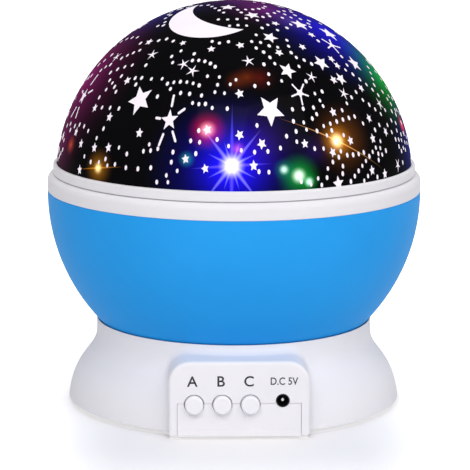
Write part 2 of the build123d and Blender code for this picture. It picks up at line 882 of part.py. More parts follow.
def make_collar():
    spigot_outer = ledge_bore_radius - spigot_gap
    spigot_inner = spigot_outer - spigot_wall
    floor_z = rim_z + collar_floor
    outline = [
        (spigot_inner, inner_deck_top_z), (spigot_outer, inner_deck_top_z), (spigot_outer, rim_z),
        (ball_radius, rim_z), (ball_radius, collar_top_z), (collar_inner_radius, collar_top_z),
        (collar_inner_radius, floor_z), (spigot_inner, floor_z),
    ]
    return turned(outline, [(3, joint_edge), (4, collar_shoulder)])


# Cover

def make_dome_ring():
    skirt_inner = skirt_outer_radius - ring_skirt
    outline = [
        (ring_flange_radius, dome_seat_z - ring_flange), (skirt_inner, dome_seat_z - ring_flange),
        (skirt_inner, ring_z - skirt_drop), (skirt_outer_radius, ring_z - skirt_drop),
        (skirt_outer_radius, ring_z), (ring_outer_radius, ring_z), (ring_outer_radius, ring_top_z),
        (ring_flange_radius, ring_top_z),
    ]
    ring = turned(outline, [(5, joint_edge), (6, ring_edge)])
    span = ball_radius
    room = block((-span, span), (-span, span), (dome_seat_z, ring_top_z + overcut))
    return ring - (ball(dome_radius + screw_gap, dome_z) & room)


def make_star_dome():
    span = ball_radius + overcut
    shell = ball(dome_radius, dome_z) - ball(dome_radius - dome_wall, dome_z)
    return shell & block((-span, span), (-span, span), (dome_seat_z, dome_z + span))


# Lamps

def make_led_platform():
    platform = disc(platform_radius, platform_z, platform_top_z)
    rim_inner = platform_radius - platform_rim_wall
    platform += tube(rim_inner, platform_radius, platform_top_z, platform_top_z + platform_rim)
    spigot_inner = mast_bore_radius - mast_spigot_wall
    spigot_z = platform_z - mast_spigot_length
    platform += tube(spigot_inner, mast_bore_radius - screw_gap, spigot_z, platform_z)
    platform -= disc(lead_hole_radius, platform_z, platform_top_z)
    for x in (-led_screw_x, led_screw_x):
        platform += disc(led_boss_radius, platform_z - led_boss_height, platform_z, x, 0)
        platform -= disc(small_screw_radius + screw_gap, platform_z - led_boss_height, platform_top_z, x, 0)
    return platform


def make_led_board():
    board = disc(led_board_radius, platform_top_z, led_board_top_z)
    for x in (-led_screw_x, led_screw_x):
        board -= disc(small_screw_radius + screw_gap, platform_top_z, led_board_top_z, x, 0)
    return board


def make_led(x, y):
    barrel_z = led_board_top_z + led_flange_height
    round_z = barrel_z + led_height
    lamp = disc(led_radius + led_flange, led_board_top_z, barrel_z, x, y)
    lamp += disc(led_radius, barrel_z, round_z, x, y)
    return lamp + Pos(x, y, round_z) * Sphere(led_radius)


# Every piece, one file each

save("base_housing", make_base_housing())
save("bottom_cover", make_bottom_cover())
save("rubber_feet", *[make_foot(x, y) for x, y in foot_places()])
save("case_screws", *[
    screw_up(x, y, case_seat_z(), screw_radius, case_screw_length) for x, y in case_screw_places()
])
save("battery_door", make_battery_door())
save("door_screw", make_door_screw())
save("battery_cells", *[make_cell(y, side) for y, side in cell_rows()])
save("battery_plates", *[make_flat_contact(y, side) for y, side in cell_rows()])
save("battery_springs", *[make_spring_contact(y, side) for y, side in cell_rows()])

save("control_board", make_control_board())
save("control_chip", make_chip())
save("tact_switches", *[make_switch(x) for x in button_places.values()])
save("dc_jack", make_jack())
save("jack_pin", make_jack_pin())
for name, x in button_places.items():
    save(f"button_{name}", make_button(x))
    save(f"switch_plunger_{name}", make_plunger(x))

save("gear_motor", make_gear_motor())
save("motor_screws", *[
    screw_up(x, y, deck_z - ear_thickness, small_screw_radius, ear_thickness + deck_thickness)
    for x, y in ear_screw_places()
])
save("motor_shaft", make_motor_shaft())
save("drive_pinion", make_pinion())

save("mast", make_mast())
save("mast_screws", *[
    screw_up(x, y, deck_z, small_screw_radius, deck_thickness + mast_foot) for x, y in mast_screw_places()
])
save("thrust_washer", make_thrust_washer())
save("retaining_clip", make_retaining_clip())
save("led_platform", make_led_platform())
save("led_board", make_led_board())
save("led_board_screws", *[
    screw_down(x, 0, led_board_top_z, small_screw_radius, led_screw_length)
    for x in (-led_screw_x, led_screw_x)
])
for name, (x, y) in zip(led_names, circle_places(led_circle, len(led_names))):
    save(f"led_{name}", make_led(x, y))
save("led_lead", make_lead())

save("bowl_shell", make_bowl_shell())
save("hub_bush", make_hub_bush())
save("ring_gear", make_ring_gear())
save("gear_screws", *[
    screw_up(x, y, gear_seat_z(), small_screw_radius, gear_screw_length) for x, y in gear_screw_places()
])
save("inner_deck", make_inner_deck())
save("deck_screws", *[
    screw_down(x, y, inner_deck_top_z, small_screw_radius, deck_screw_length) for x, y in deck_screw_places()
])
save("collar", make_collar())

save("dome_ring", make_dome_ring())
save("star_dome", make_star_dome())
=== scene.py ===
import json
import math

import bpy
import numpy as np
from mathutils import Matrix, Vector


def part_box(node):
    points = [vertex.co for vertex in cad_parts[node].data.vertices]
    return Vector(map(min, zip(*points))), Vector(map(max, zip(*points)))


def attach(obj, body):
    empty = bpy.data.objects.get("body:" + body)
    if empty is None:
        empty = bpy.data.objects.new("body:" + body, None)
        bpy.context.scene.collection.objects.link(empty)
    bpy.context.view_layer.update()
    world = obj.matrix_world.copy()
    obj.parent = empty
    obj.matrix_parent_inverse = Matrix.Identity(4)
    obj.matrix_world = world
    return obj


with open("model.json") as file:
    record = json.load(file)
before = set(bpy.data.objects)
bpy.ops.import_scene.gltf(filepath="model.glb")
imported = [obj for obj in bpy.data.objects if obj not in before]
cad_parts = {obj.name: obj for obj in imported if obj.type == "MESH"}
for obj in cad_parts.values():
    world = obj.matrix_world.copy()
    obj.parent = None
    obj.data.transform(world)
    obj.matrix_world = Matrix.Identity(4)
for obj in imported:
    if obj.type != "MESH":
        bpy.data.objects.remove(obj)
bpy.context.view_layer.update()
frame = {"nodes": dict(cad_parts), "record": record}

# Looks for a star night light projector. Metres, +Z up, control panel at -Y.

millimetre = 0.001
sharpFrom = 35  # degrees: an edge that folds more than this stays sharp
print("frame loaded:", len(frame["nodes"]), "nodes")


# Small helpers

def linear(hexText):
    # an sRGB hex colour as linear red, green, blue and full alpha, by the sRGB curve
    parts = np.array([int(hexText[i:i + 2], 16) for i in (1, 3, 5)]) / 255
    curve = np.where(parts <= 0.04045, parts / 12.92, ((parts + 0.055) / 1.055) ** 2.4)
    return (*curve.tolist(), 1.0)


def addNode(tree, kind, settings=None, links=None):
    # settings are the node's properties or its sockets' values
    node = tree.nodes.new(kind)
    for key, value in (settings or {}).items():
        if isinstance(key, str) and hasattr(node, key):
            setattr(node, key, value)
        else:
            node.inputs[key].default_value = value
    feed(tree, node, links or {})
    return node


def feed(tree, node, links):
    # into each socket goes an output, or the first output of a node
    for key, source in links.items():
        output = source.outputs[0] if hasattr(source, "outputs") else source
        tree.links.new(output, node.inputs[key])


def startMaterial(name, settings):
    # a material with one shader, whose constant sockets come from settings, and the Object coordinates
    material = bpy.data.materials.new(name)
    material.use_nodes = True
    tree = material.node_tree
    tree.nodes.clear()
    shader = addNode(tree, "ShaderNodeBsdfPrincipled", settings)
    addNode(tree, "ShaderNodeOutputMaterial", links={"Surface": shader})
    place = addNode(tree, "ShaderNodeTexCoord").outputs["Object"]
    return material, tree, shader, place


def addClouds(tree, place, size, colours, detail, roughness=0.5):
    # noise with clouds of a size in millimetres, and the two colours mixed by it
    cloud = addNode(tree, "ShaderNodeTexNoise",
                    {"Scale": 1 / (size * millimetre), "Detail": detail, "Roughness": roughness},
                    {"Vector": place})
    first, second = [linear(hexText) for hexText in colours]
    return cloud, addNode(tree, "ShaderNodeMixRGB", {"Color1": first, "Color2": second}, {"Fac": cloud})


def addSkin(tree, place, size, strength, depth, detail):
    # noise as a relief, its size and depth in millimetres
    grain = addNode(tree, "ShaderNodeTexNoise",
                    {"Scale": 1 / (size * millimetre), "Detail": detail}, {"Vector": place})
    return addNode(tree, "ShaderNodeBump", {"Strength": strength, "Distance": depth * millimetre},
                   {"Height": grain})


def addObject(name, data):
    holder = bpy.data.objects.new(name, data)
    bpy.context.scene.collection.objects.link(holder)
    return holder


def addPiece(name, points, faces, material, body):
    # a mesh from arrays, smooth but for its rims, that rides on a CAD body
    mesh = bpy.data.meshes.new(name)
    mesh.from_pydata(points.tolist(), [], faces)
    mesh.validate()
    mesh.shade_smooth()
    mesh.set_sharp_from_angle(angle=math.radians(sharpFrom))
    mesh.materials.append(material)
    piece = addObject(name, mesh)
    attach(piece, body)


# Camera, floor and light

cameraLook = {
    "distance": 0.9166,
    "azimuth": -2.0,  # degrees from straight ahead
    "elevation": 10.92,
    "target": (0.0004, 0.0, 0.0580),
    "roll": 0.2,
    "lens": 199.2,  # millimetres, as is the sensor
    "sensor": 36.0,
    "reach": 50,
}


def placeCamera(look):
    azimuth = math.radians(look["azimuth"])
    elevation = math.radians(look["elevation"])
    away = Vector((
        math.sin(azimuth) * math.cos(elevation),
        -math.cos(azimuth) * math.cos(elevation),
        math.sin(elevation),
    ))
    camera = bpy.data.cameras.new("camera")
    camera.lens = look["lens"]
    camera.sensor_width = look["sensor"]
    camera.dof.use_dof = False
    camera.clip_end = look["reach"]
    holder = addObject("camera", camera)
    turn = away.to_track_quat("Z", "Y").to_matrix().to_4x4()
    roll = Matrix.Rotation(math.radians(look["roll"]), 4, "Z")
    place = Matrix.Translation(Vector(look["target"]) + away * look["distance"])
    holder.matrix_world = place @ turn @ roll
    bpy.context.scene.camera = holder


floorLook = {
    "reach": 6.0,
    "colour": "#EFECEC",
    "roughness": 0.5,
    "under": 0.48,  # light that the eye sees added under the base, before it and away from it
    "near": 0.07,
    "away": 0.8,
    "baseEdge": (56.6, 58.5),  # millimetres from the middle, where the light under the base ends
    "podSide": (22.6, 23.6),  # along X, where the light under the pod ends
    "podFront": (12.6, 14.0),  # along Y from the middle of the near part
    "sideEdge": (36.0, 100.0),  # along X, where near becomes away
    "frontMiddle": -45.0,  # along Y, the middle of the near part
    "frontEdge": (20.0, 160.0),  # along Y from there, where near becomes away
}
worldLook = {"light": 0.46, "colour": "#FDFDFF"}
lampLooks = {
    "keyLight": {"place": (0.6, -0.85, 0.95), "size": 0.8, "power": 5.2, "colour": "#FFFEFC"},
    "frontLight": {"place": (-0.22, -1.0, 0.95), "size": 0.7, "power": 7.2, "colour": "#FFFEFA"},
    "topLight": {"place": (0.05, 0.3, 1.15), "size": 1.0, "power": 1.0, "colour": "#FFFFFF"},
}
lampAim = (0, 0, 0.06)


def paleFloor(look):
    # painted board, matt and pale: the eye, mirrors and clear plastic see it a little lighter than it is lit,
    # and white a hand's width away
    settings = {"Base Color": linear(look["colour"]), "Roughness": look["roughness"]}
    material, tree, shader, place = startMaterial("painted_board", settings)
    reach = addNode(tree, "ShaderNodeVectorMath", {"operation": "LENGTH"}, {0: place})
    middle = (0, look["frontMiddle"] * millimetre, 0)
    moved = addNode(tree, "ShaderNodeVectorMath", {"operation": "SUBTRACT", 1: middle}, {0: place})
    size = addNode(tree, "ShaderNodeVectorMath", {"operation": "ABSOLUTE"}, {0: moved})
    sides = addNode(tree, "ShaderNodeSeparateXYZ", links={"Vector": size})
    ramps = {}
    for edge, value in (
        ("baseEdge", reach.outputs["Value"]),
        ("sideEdge", sides.outputs["X"]),
        ("frontEdge", sides.outputs["Y"]),
        ("podSide", sides.outputs["X"]),
        ("podFront", sides.outputs["Y"]),
    ):
        start, end = look[edge]
        ramps[edge] = addNode(tree, "ShaderNodeMapRange", {
            "interpolation_type": "SMOOTHSTEP",
            "From Min": start * millimetre,
            "From Max": end * millimetre,
            "To Min": 1.0,
            "To Max": 0.0,
        }, {"Value": value})
    before = addNode(tree, "ShaderNodeMath", {"operation": "MULTIPLY"},
                     {0: ramps["sideEdge"], 1: ramps["frontEdge"]})
    pod = addNode(tree, "ShaderNodeMath", {"operation": "MULTIPLY"},
                  {0: ramps["podSide"], 1: ramps["podFront"]})
    under = addNode(tree, "ShaderNodeMath", {"operation": "MAXIMUM"},
                    {0: ramps["baseEdge"], 1: pod})
    gap = addNode(tree, "ShaderNodeMath", {"operation": "MULTIPLY"}, {0: under, 1: before})
    around = addNode(tree, "ShaderNodeMapRange", {"To Min": look["away"], "To Max": look["near"]},
                     {"Value": before})
    lift = addNode(tree, "ShaderNodeMath", {"operation": "MULTIPLY_ADD", 1: look["under"]},
                   {0: gap, 2: around})
    seen = seenByEye(tree)
    strength = addNode(tree, "ShaderNodeMath", {"operation": "MULTIPLY"}, {0: seen, 1: lift})
    glow = addNode(tree, "ShaderNodeEmission", links={"Strength": strength})
    both = addNode(tree, "ShaderNodeAddShader", links={0: shader, 1: glow})
    output = next(node for node in tree.nodes if node.bl_idname == "ShaderNodeOutputMaterial")
    feed(tree, output, {"Surface": both})
    return material


def seenByEye(tree):
    # 1 for what the eye sees, straight, in a mirror or through clear plastic, and 0 for the light itself
    path = addNode(tree, "ShaderNodeLightPath")
    mirrored = addNode(tree, "ShaderNodeMath", {"operation": "MAXIMUM"},
                       {0: path.outputs["Is Camera Ray"], 1: path.outputs["Is Glossy Ray"]})
    return addNode(tree, "ShaderNodeMath", {"operation": "MAXIMUM"},
                   {0: mirrored, 1: path.outputs["Is Transmission Ray"]})


def layFloor(look):
    reach = look["reach"]
    mesh = bpy.data.meshes.new("floor")
    corners = [(-reach, -reach, 0), (reach, -reach, 0), (reach, reach, 0), (-reach, reach, 0)]
    mesh.from_pydata(corners, [], [(0, 1, 2, 3)])
    mesh.materials.append(paleFloor(look))
    floor = addObject("floor", mesh)


def paleSky(look):
    # the light all round; the eye, mirrors and clear plastic see it white
    world = bpy.data.worlds.new("studio")
    world.use_nodes = True
    tree = world.node_tree
    tree.nodes.clear()
    seen = seenByEye(tree)
    light = addNode(tree, "ShaderNodeBackground",
                    {"Color": linear(look["colour"]), "Strength": look["light"]})
    white = addNode(tree, "ShaderNodeBackground", {"Color": linear("#FFFFFF"), "Strength": 1.0})
    mix = addNode(tree, "ShaderNodeMixShader", links={0: seen, 1: light, 2: white})
    addNode(tree, "ShaderNodeOutputWorld", links={"Surface": mix})
    bpy.context.scene.world = world


def hangLamps(looks, aim):
    # square soft boxes that face the middle of the lamp
    for name, look in looks.items():
        light = bpy.data.lights.new(name, "AREA")
        light.shape = "SQUARE"
        light.size = look["size"]
        light.energy = look["power"]
        light.color = linear(look["colour"])[:3]
        holder = addObject(name, light)
        away = Vector(look["place"]) - Vector(aim)
        turn = away.to_track_quat("Z", "Y").to_matrix().to_4x4()
        holder.matrix_world = Matrix.Translation(Vector(look["place"])) @ turn


bpy.context.scene.view_settings.view_transform = "Standard"
placeCamera(cameraLook)
layFloor(floorLook)
paleSky(worldLook)
hangLamps(lampLooks, lampAim)
print("camera, floor and light set")


# Plastics and rubber. Sizes are in millimetres; the etched grain of a mould is finer than a render
# can show, so grainSize is as coarse as it needs to be seen

plasticLooks = {
    # ABS from a fine-etched mould: a soft sheen with no mirror in it
    "abs_moulded_white": {
        "slot": "shell_white", "colour": "#EDECF1", "shade": "#E7E6EC", "gloss": 0.0, "coat": 0.15,
        "cloudSize": 22, "roughness": 0.38, "grainSize": 0.9, "grain": 0.06, "glow": 0.1,
    },
    # ABS from a polished mould: smooth, with a clear highlight
    "abs_polished_white": {
        "slot": "collar_white", "colour": "#E6E5EA", "shade": "#E1E0E6", "gloss": 0.0, "coat": 0.2,
        "cloudSize": 26, "roughness": 0.3, "grainSize": 1.6, "grain": 0.03, "glow": 0.1,
    },
    # the same resin dyed through, a deep clean blue
    "abs_polished_blue": {
        "slot": "bowl_blue", "colour": "#259FEE", "shade": "#1F96E6", "gloss": 0.0, "coat": 0.2,
        "cloudSize": 30, "roughness": 0.34, "grainSize": 1.6, "grain": 0.03, "glow": 0.0,
    },
    # unpolished ABS inside the lamp: flat, a little greyer, with a visible tooth
    "abs_inner_white": {
        "slot": "inner_white", "colour": "#E6E5E8", "shade": "#DCDBDF", "gloss": 0.5, "coat": 0.0,
        "cloudSize": 12, "roughness": 0.5, "grainSize": 0.8, "grain": 0.12, "glow": 0.1,
    },
    # buttons: the same white, a touch glossier from fingers
    "abs_button_white": {
        "slot": "button_white", "colour": "#EFEEF3", "shade": "#E9E8EE", "gloss": 0.0, "coat": 0.3,
        "cloudSize": 5, "roughness": 0.25, "grainSize": 0.9, "grain": 0.03, "glow": 0.12,
    },
    # thermoplastic rubber: dull and dusty
    "rubber_dull_grey": {
        "slot": "foot_rubber", "colour": "#5A5A5E", "shade": "#4A4A4E", "gloss": 0.4, "coat": 0.0,
        "cloudSize": 3, "roughness": 0.8, "grainSize": 0.7, "grain": 0.5, "glow": 0.0,
    },
    # glass-filled nylon of sockets and switches: black with a greyish, slightly rough skin
    "nylon_black": {
        "slot": "component_black", "colour": "#101013", "shade": "#17171B", "gloss": 0.4, "coat": 0.0,
        "cloudSize": 2, "roughness": 0.42, "grainSize": 0.6, "grain": 0.2, "glow": 0.0,
    },
    # a blob of cast epoxy over the chip: wet and black
    "epoxy_blob_black": {
        "slot": "resin_black", "colour": "#0B0B0D", "shade": "#131316", "gloss": 0.5, "coat": 0.0,
        "cloudSize": 3, "roughness": 0.15, "grainSize": 1.8, "grain": 0.1, "glow": 0.0,
    },
    # acetal gears: milky, with a waxy sheen
    "acetal_milky": {
        "slot": "gear_nylon", "colour": "#E9E6DC", "shade": "#DDD9CC", "gloss": 0.5, "coat": 0.0,
        "cloudSize": 6, "roughness": 0.38, "grainSize": 0.7, "grain": 0.08, "glow": 0.3,
    },
    # undyed nylon of the bush and washer: yellower than the gears, and duller where it rubs
    "nylon_natural": {
        "slot": "bush_nylon", "colour": "#DAD3BF", "shade": "#CEC6AF", "gloss": 0.5, "coat": 0.0,
        "cloudSize": 5, "roughness": 0.45, "grainSize": 0.7, "grain": 0.1, "glow": 0.3,
    },
    # soft PVC over a flat grey lead
    "pvc_lead_grey": {
        "slot": "lead_grey", "colour": "#A5A6AB", "shade": "#96979D", "gloss": 0.5, "coat": 0.0,
        "cloudSize": 4, "roughness": 0.5, "grainSize": 0.7, "grain": 0.12, "glow": 0.05,
    },
}
resinLook = {"index": 1.53, "glowDepth": 1.2, "drift": 0.05, "grainDepth": 0.1}  # the same in all of them


def mouldedPlastic(name, look, resin):
    # faint clouds in the colour, a slow drift in the sheen and a fine etched skin
    material, tree, shader, place = startMaterial(name, {
        "IOR": resin["index"],
        "Specular IOR Level": look["gloss"],
        "Coat Weight": look["coat"],
        "Coat Roughness": look["roughness"],
        "Subsurface Weight": look["glow"],
        "Subsurface Radius": [resin["glowDepth"] * millimetre] * 3,
        "Subsurface Scale": 1.0,
    })
    cloud, colour = addClouds(tree, place, look["cloudSize"], (look["colour"], look["shade"]),
                              detail=3.0, roughness=0.55)
    sheen = addNode(tree, "ShaderNodeMapRange", {
        "To Min": look["roughness"] - resin["drift"],
        "To Max": look["roughness"] + resin["drift"],
    }, {"Value": cloud})
    skin = addSkin(tree, place, look["grainSize"], look["grain"], resin["grainDepth"], detail=2.0)
    feed(tree, shader, {"Base Color": colour, "Roughness": sheen, "Normal": skin})
    return material


# Metals

metalLooks = {
    # zinc-plated steel screws: bright, with fine turning marks
    "steel_zinc_plated": {
        "slot": "screw_steel", "colour": "#C9CBD0", "dark": "#8D9096",
        "roughness": 0.3, "markSize": 0.35, "marks": 0.25,
    },
    # nickel-plated spring steel: warm white and smooth
    "steel_nickel_plated": {
        "slot": "contact_steel", "colour": "#D2CEC6", "dark": "#A29E96",
        "roughness": 0.24, "markSize": 0.8, "marks": 0.12,
    },
    # nickel-plated brass of the socket's pin: colder and smoother, almost a mirror
    "brass_nickel_plated": {
        "slot": "pin_metal", "colour": "#D6D6DA", "dark": "#B0B0B6",
        "roughness": 0.22, "markSize": 0.5, "marks": 0.08,
    },
    # a drawn steel can: dull stripes up its side
    "steel_drawn": {
        "slot": "motor_steel", "colour": "#B4B6BA", "dark": "#7F8287",
        "roughness": 0.38, "markSize": 1.2, "marks": 0.2,
    },
}
platingLook = {"stretch": 0.15, "stainSize": 3.0, "smoother": 0.08, "rougher": 0.12, "markDepth": 0.05}


def platedMetal(name, look, plating):
    # scratches stretched along Z, and stains in the plating where it was handled
    material, tree, shader, place = startMaterial(name, {"Metallic": 1.0})
    stretch = (1.0, 1.0, plating["stretch"])
    stretched = addNode(tree, "ShaderNodeMapping", {"Scale": stretch}, {"Vector": place})
    stain, colour = addClouds(tree, place, plating["stainSize"], (look["colour"], look["dark"]), detail=3.0)
    sheen = addNode(tree, "ShaderNodeMapRange", {
        "To Min": look["roughness"] - plating["smoother"],
        "To Max": look["roughness"] + plating["rougher"],
    }, {"Value": stain})
    skin = addSkin(tree, stretched, look["markSize"], look["marks"], plating["markDepth"], detail=4.0)
    feed(tree, shader, {"Base Color": colour, "Roughness": sheen, "Normal": skin})
    return material


# Circuit boards: woven glass in epoxy, under a smooth glossy lacquer

boardLooks = {
    # green lacquer, through which the copper shows lighter
    "fr4_green_mask": {
        "slot": "board_green", "mask": "#1F6B3C", "copper": "#2F8A52", "pad": "#C9C6BE",
        "pitch": 2.54, "turn": (math.radians(90), 0, 0),
    },
    # white lacquer that throws the lamps' light up; the copper shows a little darker
    "fr4_white_mask": {
        "slot": "board_white", "mask": "#E9E9E6", "copper": "#DADAD5", "pad": "#B9BBC0",
        "pitch": 2.54, "turn": (0, 0, math.radians(45)),
    },
}
maskLook = {
    "roughness": 0.3, "index": 1.5, "coat": 0.3,
    "trackEvery": 4,  # pitches
    "trackWidth": 0.035,  # of that step
    "trackSoft": 0.2,
    "padEdge": (0.16, 0.2),  # in pitches from the middle of a pad
    "relief": 0.3, "reliefDepth": 0.1,
}


def circuitBoard(name, look, mask):
    # solder mask with tracks standing under it as a brick pattern, and a pad at each pitch
    material, tree, shader, place = startMaterial(
        name, {"Roughness": mask["roughness"], "IOR": mask["index"], "Coat Weight": mask["coat"]})
    turned = addNode(tree, "ShaderNodeMapping", {"Rotation": look["turn"]}, {"Vector": place})
    tracks = addNode(tree, "ShaderNodeTexBrick", {
        "Scale": 1 / (look["pitch"] * mask["trackEvery"] * millimetre),
        "Mortar Size": mask["trackWidth"],
        "Mortar Smooth": mask["trackSoft"],
        "Color1": (0, 0, 0, 1),
        "Color2": (0, 0, 0, 1),
        "Mortar": (1, 1, 1, 1),
    }, {"Vector": turned})
    pads = addNode(tree, "ShaderNodeTexVoronoi",
                   {"Scale": 1 / (look["pitch"] * millimetre), "Randomness": 0.0}, {"Vector": turned})
    start, end = mask["padEdge"]
    isPad = addNode(tree, "ShaderNodeMapRange",
                    {"From Min": start, "From Max": end, "To Min": 1.0, "To Max": 0.0},
                    {"Value": pads})
    lacquer = addNode(tree, "ShaderNodeMixRGB",
                      {"Color1": linear(look["mask"]), "Color2": linear(look["copper"])},
                      {"Fac": tracks})
    colour = addNode(tree, "ShaderNodeMixRGB", {"Color2": linear(look["pad"])},
                     {"Fac": isPad, "Color1": lacquer})
    relief = addNode(tree, "ShaderNodeBump",
                     {"Strength": mask["relief"], "Distance": mask["reliefDepth"] * millimetre},
                     {"Height": tracks})
    feed(tree, shader, {"Base Color": colour, "Metallic": isPad, "Normal": relief})
    return material


# Battery cells

cellLook = {
    "slot": "cell_wrap", "sleeve": "#23252B", "band": "#B9772F", "steel": "#C6C7CA",
    "bandFrom": 13.5,  # millimetres from the middle of the cell
    "sleeveTo": 20.2,
    "soft": 0.1,
    "roughness": 0.22, "coat": 0.4,
    "creaseSize": 4, "crease": 0.15, "creaseDepth": 0.1,
}


def shrinkSleeve(look):
    # printed PVC shrink sleeve: glossy and dark with a copper band near both ends, and bare steel past them
    material, tree, shader, place = startMaterial(
        "sleeve_shrunk_dark", {"Roughness": look["roughness"], "Coat Weight": look["coat"]})
    along = addNode(tree, "ShaderNodeSeparateXYZ", links={"Vector": place})
    away = addNode(tree, "ShaderNodeMath", {"operation": "ABSOLUTE"}, {0: along.outputs["X"]})
    soft = look["soft"] * millimetre
    inBand, isBare = [
        addNode(tree, "ShaderNodeMapRange",
                {"From Min": edge * millimetre - soft, "From Max": edge * millimetre + soft},
                {"Value": away})
        for edge in (look["bandFrom"], look["sleeveTo"])
    ]
    banded = addNode(tree, "ShaderNodeMixRGB",
                     {"Color1": linear(look["sleeve"]), "Color2": linear(look["band"])},
                     {"Fac": inBand})
    colour = addNode(tree, "ShaderNodeMixRGB", {"Color2": linear(look["steel"])},
                     {"Fac": isBare, "Color1": banded})
    skin = addSkin(tree, place, look["creaseSize"], look["crease"], look["creaseDepth"], detail=3.0)
    feed(tree, shader, {"Base Color": colour, "Metallic": isBare, "Normal": skin})
    return material


# Lamps

lampColours = {"led_warm": "#FFD9A0", "led_red": "#FF5B4A", "led_green": "#5BFF8C", "led_blue": "#5A86FF"}
lensLook = {"roughness": 0.08, "index": 1.55, "clear": 0.35, "light": 0.55, "cloudSize": 1.5}


def castEpoxy(slot, hexText, look):
    # a cast epoxy lens that is lit: clear at its skin, cloudy and bright inside
    material, tree, shader, place = startMaterial("epoxy_lens_" + slot[4:], {
        "Roughness": look["roughness"],
        "IOR": look["index"],
        "Transmission Weight": look["clear"],
        "Emission Strength": look["light"],
    })
    colour = addClouds(tree, place, look["cloudSize"], (hexText, "#FFFFFF"), detail=2.0)[1]
    feed(tree, shader, {"Base Color": colour, "Emission Color": colour})
    return material


# The printed dome

domeLow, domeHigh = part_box("star_dome")
domeRise = domeHigh.z - domeLow.z
# a cap's radius is the square of its half width and that of its rise, over twice the rise
domeRadius = (domeHigh.x ** 2 + domeRise ** 2) / (2 * domeRise)
domeCentre = np.array([0.0, 0.0, domeHigh.z - domeRadius])


def domeDirection(azimuth, elevation):
    # azimuth in degrees from the front, to the right; elevation up from the dome's equator:
    # x is sin(azimuth) and y is -cos(azimuth), both times cos(elevation), and z is sin(elevation)
    turn = np.radians(azimuth)
    rise = np.radians(elevation)
    return np.stack([np.sin(turn) * np.cos(rise), -np.cos(turn) * np.cos(rise), np.sin(rise)], axis=-1)


def domeAxes(normal):
    # east and north on the dome at a direction: up x normal made one long, and normal x east
    east = np.cross([0.0, 0.0, 1.0], normal)
    east /= np.linalg.norm(east, axis=-1, keepdims=True)
    return east, np.cross(normal, east)


domeLook = {
    "slot": "dome_dark", "ink": "#040405", "cloud": "#0A0A0D", "cloudSize": 14,
    "roughness": 0.3, "skin": 0.03, "skinRoughness": 0.1,
    "falloff": 2.2,  # power by which a glow fades from its middle
    "rayTip": 0.0005,  # half width that a streak keeps at its end, in parts of the dome's radius
}

# azimuth, elevation, reach in degrees, colour, strength: painted glows, soft coloured light that the print
# itself emits where the lamps' light would come through
paintedDomeGlows = [
    (-2.7, 13.3, 4.6, "#FFFFFF", 2.6),
    (-2.7, 13.3, 17.0, "#1A10FF", 1.5),
    (-4.0, 12.0, 28.0, "#1208C8", 0.65),
    (6.0, 20.0, 17.0, "#3A1080", 0.5),
    (-10.9, 24.2, 3.4, "#FFC8D4", 1.6),
    (-10.9, 24.2, 7.0, "#E8103C", 1.2),
    (-17.0, 15.0, 3.2, "#30C8D8", 0.6),
    (-0.9, 18.4, 3.0, "#E060A0", 0.9),
    (18.3, 9.8, 3.0, "#F0FFF8", 2.4),
    (18.3, 9.8, 8.0, "#10C040", 0.9),
    (13.6, 11.9, 2.0, "#D8FFF0", 1.8),
    (13.6, 11.9, 4.0, "#109868", 0.8),
    (21.6, 7.8, 2.0, "#D8FFF0", 2.0),
    (21.6, 7.8, 4.0, "#10A850", 0.8),
    (33.4, 19.5, 3.4, "#FFF0B0", 2.8),
    (33.4, 19.5, 7.0, "#FFA020", 1.0),
    (36.0, 20.0, 13.5, "#9A5610", 0.55),
    (24.0, 17.0, 8.0, "#2A1070", 0.45),
    (-49.7, 9.5, 2.4, "#FFE8A0", 2.2),
    (-49.7, 9.5, 7.0, "#C07C14", 0.8),
    (-1.0, 40.6, 5.0, "#A04010", 0.3),
    (3.1, 42.0, 5.0, "#B04410", 0.3),
    (8.5, 41.6, 6.0, "#A02810", 0.25),
    (-69.1, 14.2, 4.0, "#D05028", 0.7),
    (-85.0, 36.0, 34.0, "#8A1468", 0.8),
    (-80.0, 14.0, 20.0, "#6A1450", 0.6),
    (-100.0, 66.0, 26.0, "#201878", 0.9),
    (150.0, 76.0, 26.0, "#A01C90", 0.8),
    (40.0, 76.0, 16.0, "#80287C", 0.6),
    (47.0, 66.0, 10.0, "#58488A", 0.45),
    (0.0, 86.0, 18.0, "#34105C", 0.6),
    (70.0, 58.0, 28.0, "#1C10D0", 1.1),
    (80.0, 36.0, 22.0, "#08962C", 1.1),
    (84.0, 12.0, 24.0, "#141C8C", 0.9),
    (77.5, 19.3, 4.5, "#FF4050", 1.2),
    (168.0, 20.0, 24.0, "#1810A8", 0.7),
    (168.0, 15.0, 4.5, "#8C84FF", 1.0),
    (128.0, 22.0, 20.0, "#0A7A2C", 0.7),
    (-146.0, 24.0, 24.0, "#7A1458", 0.8),
    (-168.0, 40.0, 12.0, "#8A4810", 0.5),
    (-128.0, 12.0, 8.0, "#B87414", 0.7),
]

# azimuth, elevation, heading, reach and half width in degrees, colour, strength: painted streaks of light out
# from the lamps' places, emitted by the print
paintedFlareRays = [
    (-2.7, 13.3, 90, 20.0, 1.0, "#5A48FF", 1.6),
    (-2.7, 13.3, 4, 13.0, 0.9, "#6A58FF", 1.4),
    (-2.7, 13.3, 52, 15.0, 1.0, "#8A80FF", 1.6),
    (-2.7, 13.3, 128, 15.0, 1.0, "#8A80FF", 1.6),
    (-2.7, 13.3, 27, 8.5, 0.8, "#A098FF", 1.4),
    (-2.7, 13.3, 153, 8.5, 0.8, "#A098FF", 1.4),
    (-2.7, 13.3, 72, 8.0, 0.8, "#A098FF", 1.3),
    (-2.7, 13.3, 108, 8.0, 0.8, "#A098FF", 1.3),
    (33.4, 19.5, 152, 21.0, 0.3, "#FFB060", 1.2),
    (-49.7, 9.5, 9, 11.0, 0.4, "#C07818", 1.2),
]


